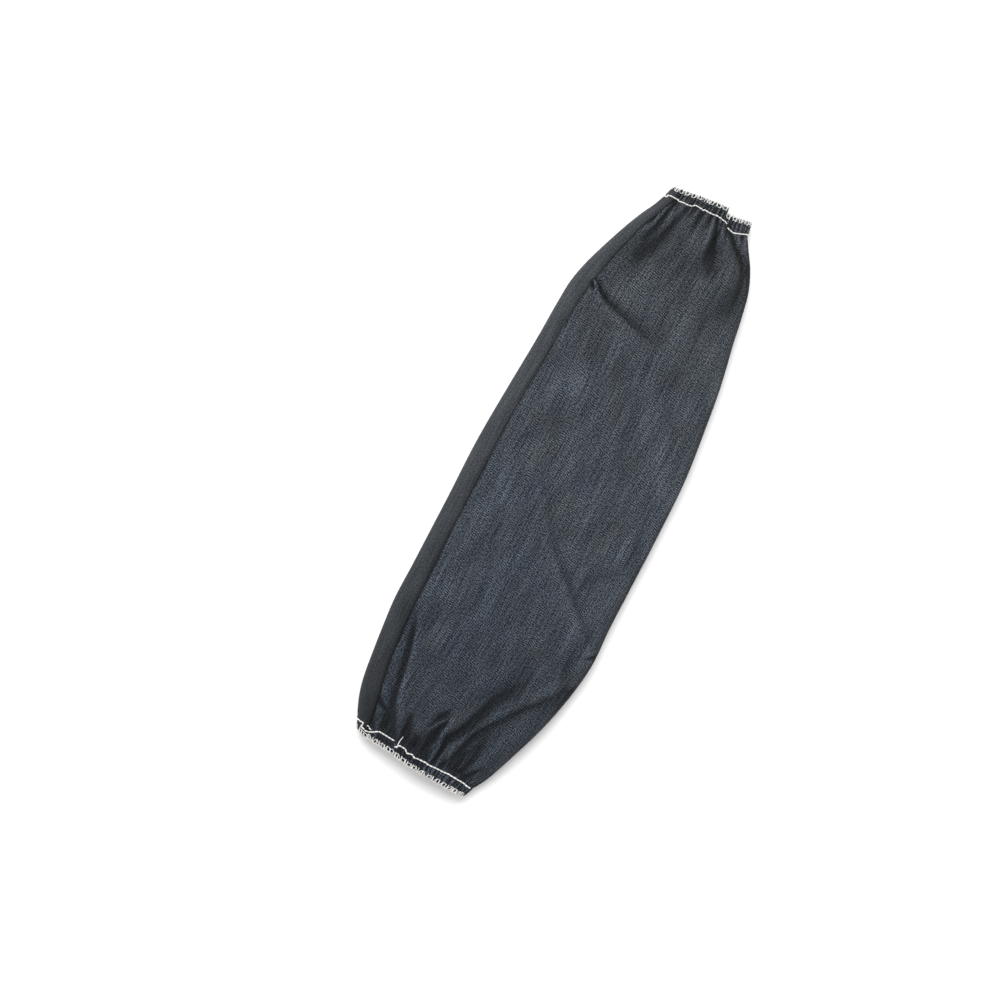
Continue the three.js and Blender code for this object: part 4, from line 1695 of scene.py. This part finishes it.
@dataclass
class ElasticTape:
    """The elastic tape inside one mouth, in millimetres."""

    form: SleeveForm
    mouth: Mouth
    inset: float = 3.1
    thickness: float = 0.9
    width: float = 6.4
    margin: float = 1.6
    columns: int = 260
    profile_points: int = 28
    profile_power: float = 5.0
    ripple: float = 0.12
    ripples: int = 46

    def build(self) -> bpy.types.Object:
        """Make the tape as a flat profile with round corners, carried round inside the mouth.

        The profile is a superellipse, as wide as the tape along Y and as thick as it inwards. The tape
        ripples a little where it is sewn to the gathers.

        Returns:
            The tape's object.
        """
        around = (2 * np.pi * np.arange(self.columns + 1) / self.columns)[None, :]
        corner = (2 * np.pi * np.arange(self.profile_points + 1) / self.profile_points)[:, None]
        wide = signed_power(np.cos(corner), 2 / self.profile_power) * self.width / 2
        thick = signed_power(np.sin(corner), 2 / self.profile_power)
        middle = self.form.half_length - self.margin - self.width / 2
        wave = self.ripple * (1 + np.cos(around * self.ripples)) / 2
        inset = self.inset + self.thickness * (1 - thick) / 2 + wave
        points = self.form.cloth(self.mouth.value * (middle + wide), around, inset, dented=False)
        lengths = self.form.around(np.array([[self.mouth.value * middle]]), around)
        places = np.stack(np.broadcast_arrays(lengths, wide), -1)
        surface = Surface()
        surface.add_grid(points[:-1, :-1], places, looped=True, inside=self.mouth is Mouth.WRIST)
        return surface.make(f"{self.mouth.label}_elastic_tape")

    def dress(self, piece: bpy.types.Object) -> None:
        """Give the tape its weave and say what it stands for.

        Args:
            piece: the tape's object.
        """
        piece.data.materials.append(TAPE.material())
        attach(piece, BODY)
        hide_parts(f"{self.mouth.label}_elastic")


@dataclass
class Topstitch:
    """The rows of thick white stitches that hold one mouth's elastic, in millimetres.

    A stitch is as long as the share fill of length, and its row on the underside runs between the angles of
    under_span.
    """

    form: SleeveForm
    mouth: Mouth
    length: float = 2.7
    fill: float = 0.95
    radius: float = 0.52
    lift: float = 0.3
    sink: float = 0.45
    arch_power: float = 0.4
    end_share: float = 0.55
    wander: float = 0.12
    uneven: float = 0.1
    steps: int = 9
    sides: int = 8
    path_steps: int = 120
    under_steps: int = 240
    under_span: tuple[float, float] = (math.pi + 0.08, 2 * math.pi - 0.2)
    seed: int = 31

    def row(self, stations: Array, angles: Array) -> tuple[Array, Array]:
        """Cut a row of sewing into stitches.

        Args:
            stations: stations along the row.
            angles: angles along the row.

        Returns:
            The stations and angles of each stitch's points.
        """
        points = self.form.cloth(stations, angles, dented=False)
        walked = np.concatenate([[0.0], np.cumsum(np.linalg.norm(np.diff(points, axis=0), axis=1))])
        count = max(1, round(walked[-1] / self.length))
        within = np.linspace(0.5 - self.fill / 2, 0.5 + self.fill / 2, self.steps)
        at = (np.arange(count)[:, None] + within) / count * walked[-1]
        return np.interp(at, walked, stations), np.interp(at, walked, angles)

    def rows(self) -> tuple[Array, Array]:
        """Collect the stitches of the upper side's rows and of one plain row on the underside.

        Returns:
            The stations and angles of each stitch's points.
        """
        found = []
        for line in MOUTHS[self.mouth].sewing:
            path = along_line(line, self.path_steps, smooth=False)
            found.append(self.row(*self.form.upper_place(path[:, 0], path[:, 1])))
        angles = np.linspace(*self.under_span, self.under_steps)
        hem = self.mouth.value * (self.form.half_length - self.form.hem)
        found.append(self.row(np.full(self.under_steps, hem), angles))
        return np.concatenate([row[0] for row in found]), np.concatenate([row[1] for row in found])

    def build(self) -> bpy.types.Object:
        """Make each stitch as a short tube that rises out of the cloth, lies on it and dives in again.

        A stitch's height over the cloth goes from -sink at its ends to lift in its middle as the sine of the
        way along it, to the power arch_power.

        Returns:
            The stitches' object.
        """
        draw = np.random.default_rng(self.seed + self.mouth.value)
        stations, angles = self.rows()
        count = len(stations)
        stations = stations + draw.normal(0, self.wander, (count, 1))
        arch = np.sin(np.pi * np.linspace(0, 1, self.steps)) ** self.arch_power
        height = -self.sink + (self.sink + self.lift) * arch
        points = self.form.cloth(stations, angles, -self.form.seam_height(stations, angles))
        up = self.form.faces_out(stations, angles)
        thick = self.radius * draw.uniform(1 - self.uneven, 1 + self.uneven, (count, 1))
        radius = thick * (self.end_share + (1 - self.end_share) * arch)
        surface = Surface()
        add_tubes(surface, points + up * height[:, None], up, radius, self.sides)
        return surface.make(f"{self.mouth.label}_topstitch")

    def dress(self, piece: bpy.types.Object) -> None:
        """Give the stitches their thread."""
        piece.data.materials.append(WHITE_THREAD.material())
        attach(piece, BODY)


class Looper(NamedTuple):
    """One overlock thread: the distance between its loops, their depth, slant, unevenness and sway."""

    pitch: float
    depth: float
    slant: float
    uneven: float
    sway: float


@dataclass
class Overlock:
    """The overlock threads that loop over one mouth's raw edge, in millimetres.

    The values that start with link are for the chain along the edge: link_span is a link's start and end in
    links, and link_place its usual place, from 0 on the outer face to 1 on the inner face. The radii are
    shares of radius.
    """

    form: SleeveForm
    mouth: Mouth
    loopers: tuple[Looper, ...] = (Looper(2.4, 2.8, 0.12, 0.12, 0.2), Looper(4.6, 2.5, -0.28, 0.2, 0.3))
    thickness: float = 1.0
    overhang: float = 0.3
    inner_depth: float = 2.2
    radius: float = 0.22
    radii: tuple[float, float] = (0.8, 1.15)
    lift: float = 0.16
    rim_room: float = 0.8
    chain_links: float = 9.0
    link_span: tuple[float, float] = (-0.1, 0.8)
    link_steps: int = 9
    link_place: float = 0.4
    link_jitter: float = 0.35
    link_sway: float = 0.3
    link_radii: tuple[float, float] = (0.8, 1.2)
    steps: int = 30
    sides: int = 6
    seed: int = 41

    def place(self, reach: Array, angle: Array) -> tuple[Array, Array]:
        """Place points on a way that runs down the outer face, round the raw edge and up the inner face.

        On the outer face reach is the distance from the edge. It is negative past the edge, first along a
        half ellipse round the cloth's thickness, which hangs over the edge, and then on the inner face.

        Args:
            reach: places along the way.
            angle: angles round the mouth.

        Returns:
            The points, and the directions that face away from the cloth.
        """
        sign = self.mouth.value
        radius = self.thickness / 2 + self.lift
        rim = sign * self.form.half_length
        inside = np.clip(-reach - self.bend(), 0, None)
        stations = rim - sign * (np.clip(reach, 0, None) + inside)
        face = self.form.cloth(stations, angle)
        safe = self.form.half_length - self.rim_room
        out = self.form.faces_out(np.clip(stations, -safe, safe), angle)
        swing = np.clip(-reach / self.bend(), 0, 1) * np.pi
        past = np.array([0.0, sign, 0.0])
        over_strip = self.form.seam_height(stations, angle) * (1 + np.cos(swing)) / 2
        outwards = (radius + over_strip) * np.cos(swing)
        onwards = (radius + self.overhang) * np.sin(swing)
        middle = face - out * self.thickness / 2
        points = middle + out * outwards[..., None] + past * onwards[..., None]
        return points, unit(out * np.cos(swing)[..., None] + past * np.sin(swing)[..., None])

    def bend(self) -> float:
        """Length of the way round the raw edge."""
        return np.pi * (self.thickness / 2 + self.lift + self.overhang / 2)

    def angle_at(self, turn: Array) -> Array:
        """Angle at each share of the way round the mouth."""
        turns, _ = self.form.turn(self.mouth, ROUND[:-1])
        return np.interp(turn % 1, np.append(turns, 1.0), ROUND)

    def add_looper(self, surface: Surface, looper: Looper, draw: np.random.Generator) -> None:
        """Add one thread that zigzags round the rim.

        In each loop the thread runs from the inner face over the raw edge, up the outer face and back. The
        reach is a cosine of the way through the loop, and each loop has its own depth and slant.

        Args:
            surface: the piece to add to.
            looper: the thread's sizes.
            draw: source of the unevenness.
        """
        _, around = self.form.turn(self.mouth, np.zeros(1))
        count = round(around / looper.pitch)
        share = np.linspace(0, 1, self.steps)
        depth = looper.depth * draw.uniform(1 - looper.uneven, 1 + looper.uneven / 2, (count, 1))
        low = -(self.bend() + self.inner_depth)
        reach = low + (depth - low) * (1 - np.cos(2 * np.pi * share)) / 2
        sway = draw.normal(0, looper.sway, (count, 1)) * np.sin(np.pi * share) ** 2
        slant = looper.slant * np.sin(2 * np.pi * share) + sway
        turn = (np.arange(count)[:, None] + share + slant) / count
        points, away = self.place(reach, self.angle_at(turn))
        thick = self.radius * draw.uniform(*self.radii, (count, 1)) * np.ones_like(share)
        add_tubes(surface, points, away, thick, self.sides)

    def add_chain(self, surface: Surface, draw: np.random.Generator) -> None:
        """Add the links along the raw edge, each a short tube that sways from face to face.

        Args:
            surface: the piece to add to.
            draw: source of the unevenness.
        """
        _, around = self.form.turn(self.mouth, np.zeros(1))
        count = round(around / self.chain_links)
        share = np.linspace(*self.link_span, self.link_steps)
        turn = (np.arange(count)[:, None] + share) / count
        jitter = draw.uniform(-self.link_jitter, self.link_jitter, (count, 1))
        side = self.link_place + jitter + self.link_sway * np.cos(np.pi * share)
        points, away = self.place(-self.bend() * side, self.angle_at(turn))
        thick = self.radius * draw.uniform(*self.link_radii, (count, 1)) * np.ones_like(share)
        add_tubes(surface, points, away, thick, self.sides)

    def build(self) -> bpy.types.Object:
        """Make both loopers' threads and the chain along the raw edge as one piece.

        Returns:
            The threads' object.
        """
        draw = np.random.default_rng(self.seed + self.mouth.value)
        surface = Surface()
        for looper in self.loopers:
            self.add_looper(surface, looper, draw)
        self.add_chain(surface, draw)
        return surface.make(f"{self.mouth.label}_overlock")

    def dress(self, piece: bpy.types.Object) -> None:
        """Give the loops their thread."""
        piece.data.materials.append(WHITE_THREAD.material())
        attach(piece, BODY)


@dataclass
class LooseThreads:
    """The thread ends that stick out at the wide mouth, along points (x, y) on the upper side."""

    form: SleeveForm
    ends: tuple[Line, ...] = (
        ((-20.6, -219.6), (-21.1, -215.0), (-20.7, -210.6)),
        ((-44.6, -216.6), (-43.2, -217.2), (-42.4, -216.9)),
        ((-46.8, -216.2), (-46.0, -215.9), (-45.4, -216.4)),
    )
    radius: float = 0.42
    tip: float = 0.6
    lift: float = 0.35
    steps: int = 16
    sides: int = 7

    def build(self) -> bpy.types.Object:
        """Make each thread end as a tube along a short path over the cloth.

        Returns:
            The thread ends' object.
        """
        paths = np.stack([along_line(line, self.steps) for line in self.ends])
        stations, angles = self.form.upper_place(paths[..., 0], paths[..., 1])
        up = self.form.faces_out(stations, angles)
        points = self.form.cloth(stations, angles) + up * self.lift
        taper = self.radius * np.linspace(1.0, self.tip, self.steps) * np.ones((len(paths), 1))
        surface = Surface()
        add_tubes(surface, points, up, taper, self.sides)
        return surface.make("loose_threads")

    def dress(self, piece: bpy.types.Object) -> None:
        """Give the thread ends their thread."""
        piece.data.materials.append(WHITE_THREAD.material())
        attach(piece, BODY)


@dataclass
class Studio:
    """The pale floor, the soft light and the camera straight above.

    The lens and its sensor are in millimetres, and the other lengths in metres.
    """

    roll: float = math.radians(28.3)
    aim: tuple[float, float] = (-0.0394, -0.0305)
    view_width: float = 0.7116
    view_height: float = 0.0095
    lens: float = 85.0
    sensor: float = 36.0
    floor_size: float = 6.0
    floor_colour: Colour = (0.98, 0.98, 0.98)
    floor_roughness: float = 0.9
    floor_gloss: float = 0.1
    key_rise: float = math.radians(50)
    key_strength: float = 3.1
    key_softness: float = math.radians(50)
    sky: float = 0.75

    def build(self) -> None:
        """Set up the floor, the light, the sky and the camera."""
        scene = bpy.context.scene
        scene.view_settings.view_transform = "Standard"
        self.floor()
        self.light()
        world = bpy.data.worlds.new("studio_sky")
        world.use_nodes = True
        world.node_tree.nodes["Background"].inputs["Color"].default_value = (1.0, 1.0, 1.0, 1.0)
        world.node_tree.nodes["Background"].inputs["Strength"].default_value = self.sky
        scene.world = world
        lens = bpy.data.cameras.new("camera")
        lens.lens = self.lens
        lens.sensor_width = self.sensor
        camera = bpy.data.objects.new("camera", lens)
        camera.location = (*self.aim, self.view_height + self.view_width * self.lens / self.sensor)
        camera.rotation_euler = (0.0, 0.0, self.roll)
        scene.collection.objects.link(camera)
        scene.camera = camera

    def light(self) -> None:
        """Add the soft key light, which comes from the top of the view and high above it."""
        lamp = bpy.data.lights.new("key_light", "SUN")
        lamp.energy = self.key_strength
        lamp.angle = self.key_softness
        holder = bpy.data.objects.new("key_light", lamp)
        holder.rotation_euler = (self.key_rise - math.pi / 2, 0.0, self.roll)
        bpy.context.scene.collection.objects.link(holder)

    def floor(self) -> None:
        """Add the plain pale floor."""
        half = self.floor_size / 2
        mesh = bpy.data.meshes.new("floor")
        corners = [(-half, -half, 0), (half, -half, 0), (half, half, 0), (-half, half, 0)]
        mesh.from_pydata(corners, [], [(0, 1, 2, 3)])
        paper = bpy.data.materials.new("floor_paper")
        paper.use_nodes = True
        shader = paper.node_tree.nodes["Principled BSDF"]
        shader.inputs["Base Color"].default_value = (*self.floor_colour, 1.0)
        shader.inputs["Roughness"].default_value = self.floor_roughness
        shader.inputs["Specular IOR Level"].default_value = self.floor_gloss
        mesh.materials.append(paper)
        plane = bpy.data.objects.new("floor", mesh)
        bpy.context.scene.collection.objects.link(plane)


def report(piece: bpy.types.Object) -> None:
    """Write one piece's name and number of triangles to the log."""
    triangles = sum(len(polygon.vertices) - 2 for polygon in piece.data.polygons)
    LOG.info("%s: %d triangles", piece.name, triangles)


def main() -> None:
    logging.basicConfig(level=logging.INFO, format="%(message)s")
    Studio().build()
    form = SleeveForm()
    cloth = SleeveCloth(form)
    seam = SideSeam(form)
    sewn_on = [kind(form, mouth) for kind in (ElasticTape, Topstitch, Overlock) for mouth in Mouth]
    pieces: dict[str, bpy.types.Object] = {}
    for assembly in (cloth, seam, *sewn_on, LooseThreads(form)):
        piece = assembly.build()
        assembly.dress(piece)
        report(piece)
        pieces[piece.name] = piece
    panel = pieces.pop("sleeve_cloth")
    strip = pieces.pop("side_seam_strip")
    list(pieces.values())


if __name__ == "__main__":
    main()
